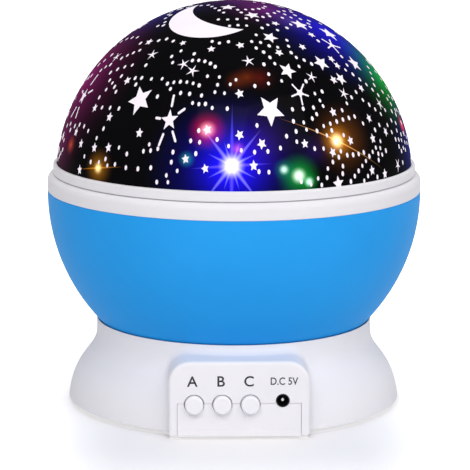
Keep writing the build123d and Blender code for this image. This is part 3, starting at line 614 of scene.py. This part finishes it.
def paintedGlowMask(tree, normal, look, azimuth, elevation, reach):
    # a round painted glow: 1 - distance / reach, to the power of the falloff
    centre = tuple(domeDirection(azimuth, elevation))
    away = addNode(tree, "ShaderNodeVectorMath", {"operation": "DISTANCE", 1: centre}, {0: normal})
    near = addNode(tree, "ShaderNodeMapRange",
                   {"From Min": 0.0, "From Max": math.radians(reach), "To Min": 1.0, "To Max": 0.0},
                   {"Value": away.outputs["Value"]})
    return addNode(tree, "ShaderNodeMath", {"operation": "POWER", 1: look["falloff"]}, {0: near})


def paintedStreakMask(tree, normal, look, azimuth, elevation, heading, reach, width):
    # a painted streak of light through a point of the dome: it fades and narrows evenly along its heading,
    # fade being
    # 1 - along / reach, and across it goes from 1 in the middle to 0 at the width times fade
    centre = domeDirection(azimuth, elevation)
    east, north = domeAxes(centre)
    turn = math.radians(heading)
    along = math.cos(turn) * east + math.sin(turn) * north
    across = math.cos(turn) * north - math.sin(turn) * east
    out = addNode(tree, "ShaderNodeVectorMath", {"operation": "SUBTRACT", 1: tuple(centre)}, {0: normal})
    parts = []
    for axis in (along, across):
        part = addNode(tree, "ShaderNodeVectorMath", {"operation": "DOT_PRODUCT", 1: tuple(axis)}, {0: out})
        parts.append(addNode(tree, "ShaderNodeMath", {"operation": "ABSOLUTE"}, {0: part.outputs["Value"]}))
    fade = addNode(tree, "ShaderNodeMapRange",
                   {"From Min": 0.0, "From Max": math.radians(reach), "To Min": 1.0, "To Max": 0.0},
                   {"Value": parts[0]})
    room = addNode(tree, "ShaderNodeMath",
                   {"operation": "MULTIPLY_ADD", 1: math.radians(width), 2: look["rayTip"]}, {0: fade})
    share = addNode(tree, "ShaderNodeMath", {"operation": "DIVIDE"}, {0: parts[1], 1: room})
    line = addNode(tree, "ShaderNodeMath", {"operation": "SUBTRACT", 0: 1.0, "use_clamp": True}, {1: share})
    return addNode(tree, "ShaderNodeMath", {"operation": "MULTIPLY"}, {0: line, 1: fade})


def screenPrint(look, glows, rays):
    # clear polystyrene printed black on its inside: deep and dark, with painted glows and streaks in the
    # lamps' colours emitted by the ink
    material, tree, shader, place = startMaterial("styrene_printed_black_painted_glow", {
        "Roughness": look["roughness"],
        "Specular IOR Level": 0.0,
        "Coat Weight": look["skin"],
        "Coat Roughness": look["skinRoughness"],
        "Emission Strength": 1.0,
    })
    out = addNode(tree, "ShaderNodeVectorMath", {"operation": "SUBTRACT", 1: tuple(domeCentre)}, {0: place})
    normal = addNode(tree, "ShaderNodeVectorMath", {"operation": "NORMALIZE"}, {0: out})
    ink = addClouds(tree, place, look["cloudSize"], (look["ink"], look["cloud"]), detail=4.0)[1]
    paintedGlow = addNode(tree, "ShaderNodeVectorMath", {"operation": "SCALE", "Scale": 0.0}, {0: normal})
    for mask, lights in ((paintedGlowMask, glows), (paintedStreakMask, rays)):
        for *where, hexText, strength in lights:
            tint = tuple(strength * part for part in linear(hexText)[:3])
            paintedGlow = addNode(tree, "ShaderNodeVectorMath", {"operation": "MULTIPLY_ADD", 1: tint},
                            {0: mask(tree, normal, look, *where), 2: paintedGlow})
    # the ink's emission is the painted glows and streaks, not light from the lamps inside
    feed(tree, shader, {"Base Color": ink, "Emission Color": paintedGlow})
    return material


# Windows in the print

windowLook = {
    # light is the strength of the windows' painted glow
    "slot": "dome_dark", "colour": "#DDD6DF", "shade": "#D5CCD9", "light": 0.36,
    "roughness": 0.25, "index": 1.5, "cloudSize": 9,
}


def clearWindow(look):
    # bare frosted styrene where the ink is left out: pale, with a painted glow in its own colour that stands
    # for the lamps' light from within
    material, tree, shader, place = startMaterial("styrene_clear_window_painted_glow", {
        "Roughness": look["roughness"],
        "IOR": look["index"],
        "Emission Strength": look["light"],
    })
    colour = addClouds(tree, place, look["cloudSize"], (look["colour"], look["shade"]), detail=2.0)[1]
    feed(tree, shader, {"Base Color": colour, "Emission Color": colour})
    return material


patchLook = {
    "proud": 0.04,  # millimetres outside and inside the dome's skin
    "deep": 0.25,
    "narrow": 0.12,  # the flat print is drawn over the dome: shapes near its foot are narrower and taller
    "tall": 0.10,
    "unchangedFrom": 70,  # degrees of elevation, from which shapes keep their drawing
    "changeOver": 50,  # degrees below that, where they have all of it
}


def drawnShape(plane, elevation, look):
    # X times 1 - narrow, and Y times 1 + tall, in full at the dome's foot and fading evenly up the dome
    share = min(1.0, max(0.0, (look["unchangedFrom"] - elevation) / look["changeOver"]))
    return plane * np.array([1 - look["narrow"] * share, 1 + look["tall"] * share])


def toDome(plane, azimuth, elevation, turn):
    # a point at distance r and heading h on the flat pattern goes to the same distance and heading on the
    # sphere: its angle from the centre is r over the dome's radius
    cosine = math.cos(math.radians(turn))
    sine = math.sin(math.radians(turn))
    normal = domeDirection(azimuth, elevation)
    east, north = domeAxes(normal)
    x, y = drawnShape(plane @ np.array([[cosine, sine], [-sine, cosine]]), elevation, patchLook).T
    distance = np.hypot(x, y)
    angle = distance * millimetre / domeRadius
    safe = np.where(distance > 0, distance, 1.0)
    heading = (x / safe)[..., None] * east + (y / safe)[..., None] * north
    return np.cos(angle)[..., None] * normal + np.sin(angle)[..., None] * heading


def patchShape(outline, rings):
    # a thin closed plate: the outline scaled towards its middle in rings on top, and once more underneath
    count = len(outline)
    scale = np.arange(1, rings + 1) / rings
    top = np.concatenate([[[0.0, 0.0]], (scale[:, None, None] * outline).reshape(-1, 2)])
    plane = np.concatenate([top, outline, [[0.0, 0.0]]])
    isTop = np.arange(len(plane)) < len(top)
    here = np.arange(count)
    after = (here + 1) % count
    faces = [(0, 1 + a, 1 + b) for a, b in zip(here, after)]
    for ring in range(rings):  # the last round of quads is the rim down to the underside
        low = 1 + ring * count
        faces += [(low + a, low + count + a, low + count + b, low + b) for a, b in zip(here, after)]
    under = 1 + rings * count
    faces += [(under + b, under + a, len(plane) - 1) for a, b in zip(here, after)]
    return plane, isTop, faces


def starOutline(points, tip, notch, cuts):
    # corners at even headings from straight up, by turns at the tip's and the notch's reach;
    # the straight edges between them are each cut into equal parts
    angles = math.pi / 2 + math.pi * np.arange(2 * points) / points
    reach = np.where(np.arange(2 * points) % 2 == 0, tip, notch)
    corners = np.stack([reach * np.cos(angles), reach * np.sin(angles)], axis=-1)
    share = np.arange(cuts)[None, :, None] / cuts
    return (corners[:, None] * (1 - share) + np.roll(corners, -1, axis=0)[:, None] * share).reshape(-1, 2)


def slotOutline(start, end, width, steps=5):
    # a bar with round ends along +Y, from start to end: a half circle at each, of half the width
    half = width / 2
    swing = np.linspace(0, math.pi, steps)
    upper = np.stack([half * np.cos(swing), end - half + half * np.sin(swing)], axis=-1)
    lower = np.stack([-half * np.cos(swing), start + half - half * np.sin(swing)], axis=-1)
    return np.concatenate([upper, lower])


def ovalOutline(width, height, steps=12):
    # an ellipse: half the width times cos, half the height times sin, at even steps
    swing = 2 * math.pi * np.arange(steps) / steps
    return np.stack([width / 2 * np.cos(swing), height / 2 * np.sin(swing)], axis=-1)


def placePatches(name, patches, material):
    # patches are (outline, rings, azimuth, elevation, turn); all become one mesh
    points, faces, count = [], [], 0
    for outline, rings, azimuth, elevation, turn in patches:
        middle = outline.mean(axis=0)
        plane, isTop, patchFaces = patchShape(outline - middle, rings)
        lift = np.where(isTop, patchLook["proud"], -patchLook["deep"]) * millimetre
        direction = toDome(plane + middle, azimuth, elevation, turn)
        points.append(domeCentre + (domeRadius + lift)[:, None] * direction)
        faces += [tuple(int(i) + count for i in face) for face in patchFaces]
        count += len(plane)
    addPiece(name, np.concatenate(points), faces, material, "cover")


moonLook = {
    "azimuth": -24.6, "elevation": 72.3, "radius": 15.5,
    "biteAzimuth": 16.6, "biteElevation": 79.1, "biteRadius": 18.2,
    "along": 64, "across": 12,  # faces from tip to tip and from edge to edge
}


def moonSurface(look, material):
    # two circles on the sphere: the limb runs from tip to tip round the moon, the bite back along the other
    # circle, and the sheet between them is their straight mix, pushed out to the dome's skin
    moon = domeDirection(look["azimuth"], look["elevation"])
    bite = domeDirection(look["biteAzimuth"], look["biteElevation"])
    moonAngle = look["radius"] * millimetre / domeRadius
    biteAngle = look["biteRadius"] * millimetre / domeRadius

    # the tips lie on both circles: p.moon = cos(moonAngle) and p.bite = cos(biteAngle)
    share = np.linalg.solve([[1, moon @ bite], [moon @ bite, 1]], [math.cos(moonAngle), math.cos(biteAngle)])
    base = share[0] * moon + share[1] * bite
    across = np.cross(moon, bite)
    reach = math.sqrt((1 - base @ base) / (across @ across))
    tips = [base + reach * across, base - reach * across]

    def arc(centre, angle, first, last, longWay):
        # directions at one angle from the centre, at even headings from first to last
        east, north = domeAxes(centre)
        headings = [math.atan2(tip @ north, tip @ east) for tip in (first, last)]
        sweep = (headings[1] - headings[0]) % (2 * math.pi)
        if (sweep > math.pi) != longWay:
            sweep -= 2 * math.pi
        heading = headings[0] + sweep * np.linspace(0, 1, look["along"] + 1)
        spread = np.cos(heading)[:, None] * east + np.sin(heading)[:, None] * north
        return math.cos(angle) * centre + math.sin(angle) * spread

    limb = arc(moon, moonAngle, tips[0], tips[1], True)
    inner = arc(bite, biteAngle, tips[0], tips[1], False)
    mix = np.linspace(0, 1, look["across"] + 1)[None, :, None]
    sheet = limb[:, None] * (1 - mix) + inner[:, None] * mix
    sheet /= np.linalg.norm(sheet, axis=-1, keepdims=True)
    levels = (domeRadius + patchLook["proud"] * millimetre, domeRadius - patchLook["deep"] * millimetre)
    points = np.concatenate([(domeCentre + level * sheet).reshape(-1, 3) for level in levels])
    rows, columns = sheet.shape[:2]
    index = np.arange(rows * columns).reshape(rows, columns)
    top = np.stack([index[:-1, :-1], index[1:, :-1], index[1:, 1:], index[:-1, 1:]], axis=-1).reshape(-1, 4)
    under = top[:, ::-1] + rows * columns
    edges = [index[:, 0], index[:, -1][::-1]]
    rims = [np.stack([edge[1:], edge[:-1], edge[:-1] + rows * columns, edge[1:] + rows * columns], axis=-1)
            for edge in edges]
    faces = np.concatenate([top, under, *rims])
    outward = sheet[rows // 2, columns // 2]
    first = points[faces[0]]
    if np.dot(np.cross(first[1] - first[0], first[2] - first[0]), outward) < 0:
        faces = faces[:, ::-1]
    addPiece("moon_window", points, faces.tolist(), material, "cover")


# azimuth, elevation, tip radius in millimetres, turn: the stars that the eye finds first
broadStars = [(-38.6, 32.4, 5.2, 29), (10.8, 30.4, 5.3, 177)]
mediumStars = [
    (21.1, 43.9, 3.2, 44), (40.0, 45.8, 3.2, 12), (51.2, 63.6, 3.3, 40), (69.2, 56.8, 3.8, 25),
    (19.4, 58.3, 2.8, 38), (16.0, 71.8, 2.7, 10), (-13.2, 78.9, 2.8, 5), (62.5, 43.5, 3.2, 200),
    (45.7, 39.2, 2.4, 15), (31.9, 6.4, 2.5, 4),
]
thinStars = [
    (-44.4, 49.0, 2.3, 20), (-25.1, 46.3, 2.3, 30), (-20.0, 43.9, 2.5, 200), (4.4, 48.1, 2.4, 10),
    (31.1, 41.0, 2.2, 190), (43.2, 34.1, 2.3, 185), (-69.3, 45.6, 2.1, 40), (62.2, 28.5, 2.2, 10),
    (62.5, 8.5, 2.2, 30),
]
smallStars = [
    (-13.9, 53.0, 1.5, 10), (0.0, 36.1, 1.7, 160), (-10.9, 24.2, 1.7, 20), (-0.2, 22.7, 1.7, 170),
    (-17.3, 15.0, 1.5, 10), (-10.9, 12.3, 1.5, 15), (6.9, 19.9, 1.8, 100), (4.1, 13.3, 1.7, 0),
    (31.0, 16.1, 1.6, 20), (39.0, 19.0, 1.5, 10), (21.3, 19.4, 1.5, 0), (-34.8, 21.9, 1.6, 5),
    (-53.2, 15.4, 1.6, 10), (-46.4, 16.2, 1.6, 15), (-49.9, 25.6, 1.6, 5), (-61.5, 15.6, 1.5, 10),
    (-49.2, 38.3, 1.6, 30), (-60.3, 27.5, 1.5, 20), (1.1, 54.9, 1.6, 15), (20.4, 51.2, 1.6, 25),
    (35.4, 53.0, 1.5, 10), (47.9, 46.8, 1.5, 20), (48.6, 44.1, 1.5, 35), (41.4, 39.2, 1.6, 10),
    (54.8, 34.9, 1.5, 15), (34.8, 28.5, 1.6, 5), (51.2, 24.9, 1.5, 10), (49.9, 18.5, 1.6, 0),
    (46.6, 8.9, 1.6, 5), (58.7, 19.6, 1.5, 20), (30.4, 65.6, 1.5, 20), (50.0, 57.9, 1.5, 0),
    (-54.1, 54.0, 1.6, 10), (-31.0, 55.1, 1.3, 30), (-67.4, 18.6, 1.5, 0), (-59.5, 7.6, 1.6, 10),
    (53.2, 7.0, 1.6, 0),
]
# five rays round a star: heading from its first tip in degrees, start and end in millimetres from its middle
longRays = ((-5, 4.2, 8.5), (-60, 3.5, 6.8), (77, 3.5, 5.9), (154, 4.4, 8.8), (202, 3.7, 7.8))
shortRays = ((0, 1.5, 4.1), (72, 1.5, 4.0), (144, 1.5, 3.9), (216, 1.5, 4.3), (288, 1.5, 3.5))
# azimuth, elevation, star radius, ray width, turn, rays
burstStars = [
    (-24.5, 26.7, 3.5, 0.85, 8, longRays), (-74.5, 29.7, 2.8, 0.7, -2, longRays),
    (23.4, 35.7, 2.2, 0.55, -39, shortRays), (57.6, 52.1, 2.0, 0.55, 30, shortRays),
]
# azimuth, elevation, heading of the first step, dots, millimetres between them, degrees of bend at each
dotChains = [
    (-15.9, 27.8, 245, 9, 2.7, -8), (-29.1, 38.7, 18, 6, 2.3, -9), (-19.4, 33.3, -20, 4, 2.2, 12),
    (-21.5, 47.9, 5, 5, 2.2, -14), (-18.0, 42.6, -8, 3, 4.0, 5), (-13.5, 38.9, 3, 3, 4.2, 0),
    (-22.5, 35.8, -3, 2, 3.2, 0), (-9.3, 36.5, -6, 2, 3.2, 0), (-9.8, 31.2, -2, 2, 5.0, 0),
    (-46.8, 12.6, -15, 5, 4.9, 8), (-41.8, 16.7, -25, 2, 4.2, 0), (-34.5, 33.9, 3, 2, 2.7, 0),
    (-42.3, 39.9, 0, 3, 4.2, 6), (-32.8, 49.0, -60, 2, 3.0, 0), (-14.5, 56.5, 0, 2, 5.5, 0),
    (18.9, 30.4, 0, 4, 3.9, 2), (29.4, 24.4, 12, 6, 2.9, -2), (36.5, 14.7, -3, 4, 2.6, 4),
    (36.8, 6.6, 40, 8, 2.5, -2), (24.7, 8.6, 0, 2, 3.4, 0), (29.6, 35.1, 10, 2, 3.2, 0),
    (16.3, 46.8, 110, 4, 3.0, 14), (28.2, 48.8, -30, 3, 2.8, -12), (6.0, 38.7, 10, 3, 4.8, 0),
    (55.0, 40.0, -48, 5, 3.2, 0), (52.0, 31.0, -40, 4, 3.2, 0), (60.0, 24.0, -60, 5, 3.2, 0),
    (-55.0, 50.0, 215, 6, 2.6, 2), (-62.0, 48.0, 225, 6, 2.6, 0), (-52.0, 44.0, 200, 4, 3.4, 6),
]

# the kinds of star: those placed above, how many more on the sides and back, their sizes and the gap round
# them in millimetres, the notch as a share of the tip, and how finely edge and face are cut
starKinds = {
    "broad": {"placed": broadStars, "more": 4, "sizes": (4.6, 5.4), "gap": 3.0,
              "notch": 0.46, "cuts": 3, "rings": 3},
    "medium": {"placed": mediumStars, "more": 16, "sizes": (2.5, 3.6), "gap": 2.0,
               "notch": 0.46, "cuts": 2, "rings": 2},
    "thin": {"placed": thinStars, "more": 16, "sizes": (2.0, 2.5), "gap": 2.0,
             "notch": 0.24, "cuts": 1, "rings": 2},
    "small": {"placed": smallStars, "more": 60, "sizes": (1.4, 1.7), "gap": 1.5,
              "notch": 0.5, "cuts": 1, "rings": 1},
}
burstLook = {
    "more": 4, "sizes": (8.5, 8.8), "gap": 2.0,  # the room of a whole burst, out to its rays' ends
    "radius": 3.4, "rayWidth": 0.85, "rays": longRays,
    "notch": 0.42, "cuts": 2, "rings": 2,
    "overlap": 0.4,  # millimetres that a neighbour may stand inside the rays' ends
}
scatterLook = {
    "seed": 11,
    "points": 5,
    "starRoom": 0.95,  # share of its tip radius that a star keeps free
    "frontHalf": 80,  # degrees to each side of the front, where only placed stars stand
    "dots": 600,
    "dotWidth": 1.12, "dotHeight": 1.45,
    "dotSizes": (0.88, 1.1),  # times that width and height
    "dotGap": 2.3,  # millimetres between the centres of two dots
    "dotSlack": 0.2,  # by which a dot may stand nearer than that
    "lowest": 5.5, "highest": 84.0,  # degrees of elevation
    "step": (2.4, 4.8),  # from one dot of a chain to the next
    "chain": (2, 8),  # dots in a chain, fewer than the second
    "bend": 24.0,  # degrees that a chain turns at each dot
    "steepest": 0.2,  # least cosine of elevation by which a step sideways is divided
}


def scatterWindows(look):
    # stars and chains of dots over the rest of the dome, none nearer to another than its size allows
    draw = np.random.default_rng(look["seed"])
    taken = []  # direction and radius in millimetres

    moon = domeDirection(moonLook["azimuth"], moonLook["elevation"])
    bite = domeDirection(moonLook["biteAzimuth"], moonLook["biteElevation"])

    def farFrom(centres, direction):
        # along the dome: the angle between two directions times the dome's radius
        return np.arccos(np.clip(centres @ direction, -1, 1)) * domeRadius / millimetre

    def isFree(direction, radius, gap):
        nearMoon = farFrom(moon, direction) < moonLook["radius"] + radius
        inBite = farFrom(bite, direction) < moonLook["biteRadius"] - radius
        if nearMoon and not inBite:
            return False
        centres = np.array([spot[0] for spot in taken])
        radii = np.array([spot[1] for spot in taken])
        return bool(np.all(farFrom(centres, direction) > radii + radius + gap))

    def anyPlace():
        # even over the sphere: the sine of the elevation is drawn, not the elevation
        low, high = np.sin(np.radians([look["lowest"], look["highest"]]))
        return float(draw.uniform(-180, 180)), float(np.degrees(np.arcsin(draw.uniform(low, high))))

    def keep(azimuth, elevation, radius):
        taken.append((domeDirection(azimuth, elevation), radius))

    for kind in starKinds.values():
        for azimuth, elevation, radius, turn in kind["placed"]:
            keep(azimuth, elevation, look["starRoom"] * radius)
    for azimuth, elevation, radius, width, turn, rays in burstStars:
        keep(azimuth, elevation, max(end for heading, start, end in rays) - burstLook["overlap"])

    def fillWith(kind):
        found = []
        while len(found) < kind["more"]:
            azimuth, elevation = anyPlace()
            radius = float(draw.uniform(*kind["sizes"]))
            room = look["starRoom"] * radius
            inFront = abs(azimuth) < look["frontHalf"]
            if not inFront and isFree(domeDirection(azimuth, elevation), room, kind["gap"]):
                keep(azimuth, elevation, room)
                found.append((azimuth, elevation, radius, float(draw.uniform(0, 360 / look["points"]))))
        return found

    bursts = [(azimuth, elevation, burstLook["radius"], burstLook["rayWidth"], turn, burstLook["rays"])
              for azimuth, elevation, radius, turn in fillWith(burstLook)]
    stars = {name: fillWith(kind) for name, kind in starKinds.items()}

    dots = []

    def addChain(azimuth, elevation, heading, count, step, bend):
        # each dot lies one step along the heading from the last, which turns by the bend
        for _ in range(count):
            direction = domeDirection(azimuth, elevation)
            inBand = look["lowest"] < elevation < look["highest"]
            if inBand and isFree(direction, look["dotGap"] / 2, -look["dotSlack"]):
                keep(azimuth, elevation, look["dotGap"] / 2)
                dots.append((azimuth, elevation, float(draw.uniform(*look["dotSizes"]))))
            stride = math.degrees(step * millimetre / domeRadius)
            narrowing = max(look["steepest"], math.cos(math.radians(elevation)))
            azimuth += stride * math.cos(math.radians(heading)) / narrowing
            elevation += stride * math.sin(math.radians(heading))
            heading += bend

    for chain in dotChains:
        addChain(*chain)
    while len(dots) < look["dots"]:
        count = int(draw.integers(*look["chain"]))
        addChain(*anyPlace(), draw.uniform(0, 360), count, draw.uniform(*look["step"]),
                 draw.uniform(-look["bend"], look["bend"]))
    return stars, bursts, dots


def cutWindows(look):
    window = clearWindow(windowLook)
    moreStars, moreBursts, dots = scatterWindows(look)
    moonSurface(moonLook, window)
    stars = []
    for name, kind in starKinds.items():
        for azimuth, elevation, radius, turn in kind["placed"] + moreStars[name]:
            outline = starOutline(look["points"], radius, kind["notch"] * radius, kind["cuts"])
            stars.append((outline, kind["rings"], azimuth, elevation, turn))
    placePatches("star_windows", stars, window)
    bursts = []
    for azimuth, elevation, radius, width, turn, rays in burstStars + moreBursts:
        outline = starOutline(look["points"], radius, burstLook["notch"] * radius, burstLook["cuts"])
        bursts.append((outline, burstLook["rings"], azimuth, elevation, turn))
        for heading, start, end in rays:
            bursts.append((slotOutline(start, end, width), 1, azimuth, elevation, turn + heading))
    placePatches("burst_windows", bursts, window)
    ovals = [
        (ovalOutline(look["dotWidth"] * size, look["dotHeight"] * size), 1, azimuth, elevation, 0.0)
        for azimuth, elevation, size in dots
    ]
    placePatches("dot_windows", ovals, window)
    print("windows:", len(stars), "stars,", len(bursts), "pieces of bursts,", len(ovals), "dots")


# Lettering on the panel

letterLook = {
    "slot": "component_black", "ink": "#101014", "wear": "#1E1E24", "roughness": 0.45, "wearSize": 0.8,
    "thick": 0.03, "sunk": 0.01,  # millimetres
    "bold": 0.014,  # of the font's own height
}
letters = [  # text, middle along X, middle along Z, height, width or none for the font's own, in millimetres
    ("A", -15.7, 19.75, 3.6, None),
    ("B", -6.1, 19.75, 3.6, None),
    ("C", 3.2, 19.75, 3.6, None),
    ("D.C 5V", 15.0, 19.75, 2.6, 9.2),
]


def padInk(look):
    # pad-printed ink: almost matt black, a little thin in places
    material, tree, shader, place = startMaterial("ink_pad_printed", {"Roughness": look["roughness"]})
    colour = addClouds(tree, place, look["wearSize"], (look["ink"], look["wear"]), detail=3.0)[1]
    feed(tree, shader, {"Base Color": colour})
    return material


def printLetters(look, rows):
    ink = padInk(look)
    housingLow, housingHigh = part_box("base_housing")
    for number, (text, x, z, height, width) in enumerate(rows):
        curve = bpy.data.curves.new("letters", "FONT")
        curve.body = text
        curve.extrude = 0.5  # one deep in all, which thick then scales
        curve.offset = look["bold"]
        curve.fill_mode = "BOTH"
        holder = addObject("letters", curve)
        bpy.context.view_layer.update()
        mesh = bpy.data.meshes.new_from_object(holder.evaluated_get(bpy.context.evaluated_depsgraph_get()))
        bpy.data.objects.remove(holder)
        flat = np.zeros(3 * len(mesh.vertices))
        mesh.vertices.foreach_get("co", flat)
        flat = flat.reshape(-1, 3)
        low, high = flat.min(axis=0), flat.max(axis=0)
        tall = height / (high[1] - low[1])
        wide = tall if width is None else width / (high[0] - low[0])
        flat = flat - (low + high) / 2
        # the text's own axes X, Y and Z become the row's X, Z and -Y
        front = housingLow.y / millimetre + look["sunk"] - look["thick"] / 2
        depth = front - flat[:, 2] * look["thick"]
        points = np.stack([x + flat[:, 0] * wide, depth, z + flat[:, 1] * tall], axis=-1) * millimetre
        mesh.vertices.foreach_set("co", points.ravel())
        mesh.materials.clear()
        mesh.materials.append(ink)
        mesh.update()
        piece = addObject("panel_letter_" + str(number + 1), mesh)
        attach(piece, "base")
    print("letters printed")


# Finishes onto the CAD nodes

def finishNodes():
    finishes = {look["slot"]: mouldedPlastic(name, look, resinLook) for name, look in plasticLooks.items()}
    finishes.update({look["slot"]: platedMetal(name, look, platingLook) for name, look in metalLooks.items()})
    finishes.update({look["slot"]: circuitBoard(name, look, maskLook) for name, look in boardLooks.items()})
    finishes.update({slot: castEpoxy(slot, hexText, lensLook) for slot, hexText in lampColours.items()})
    finishes[cellLook["slot"]] = shrinkSleeve(cellLook)
    finishes[domeLook["slot"]] = screenPrint(domeLook, paintedDomeGlows, paintedFlareRays)
    for part in frame["record"]["subparts"]:
        node = frame["nodes"][part["node"]]
        if not node.material_slots:
            node.data.materials.append(None)
        for place in node.material_slots:
            place.material = finishes[part["material_slot"]]
    print("finishes:", len(finishes))


finishNodes()
cutWindows(scatterLook)
printLetters(letterLook, letters)
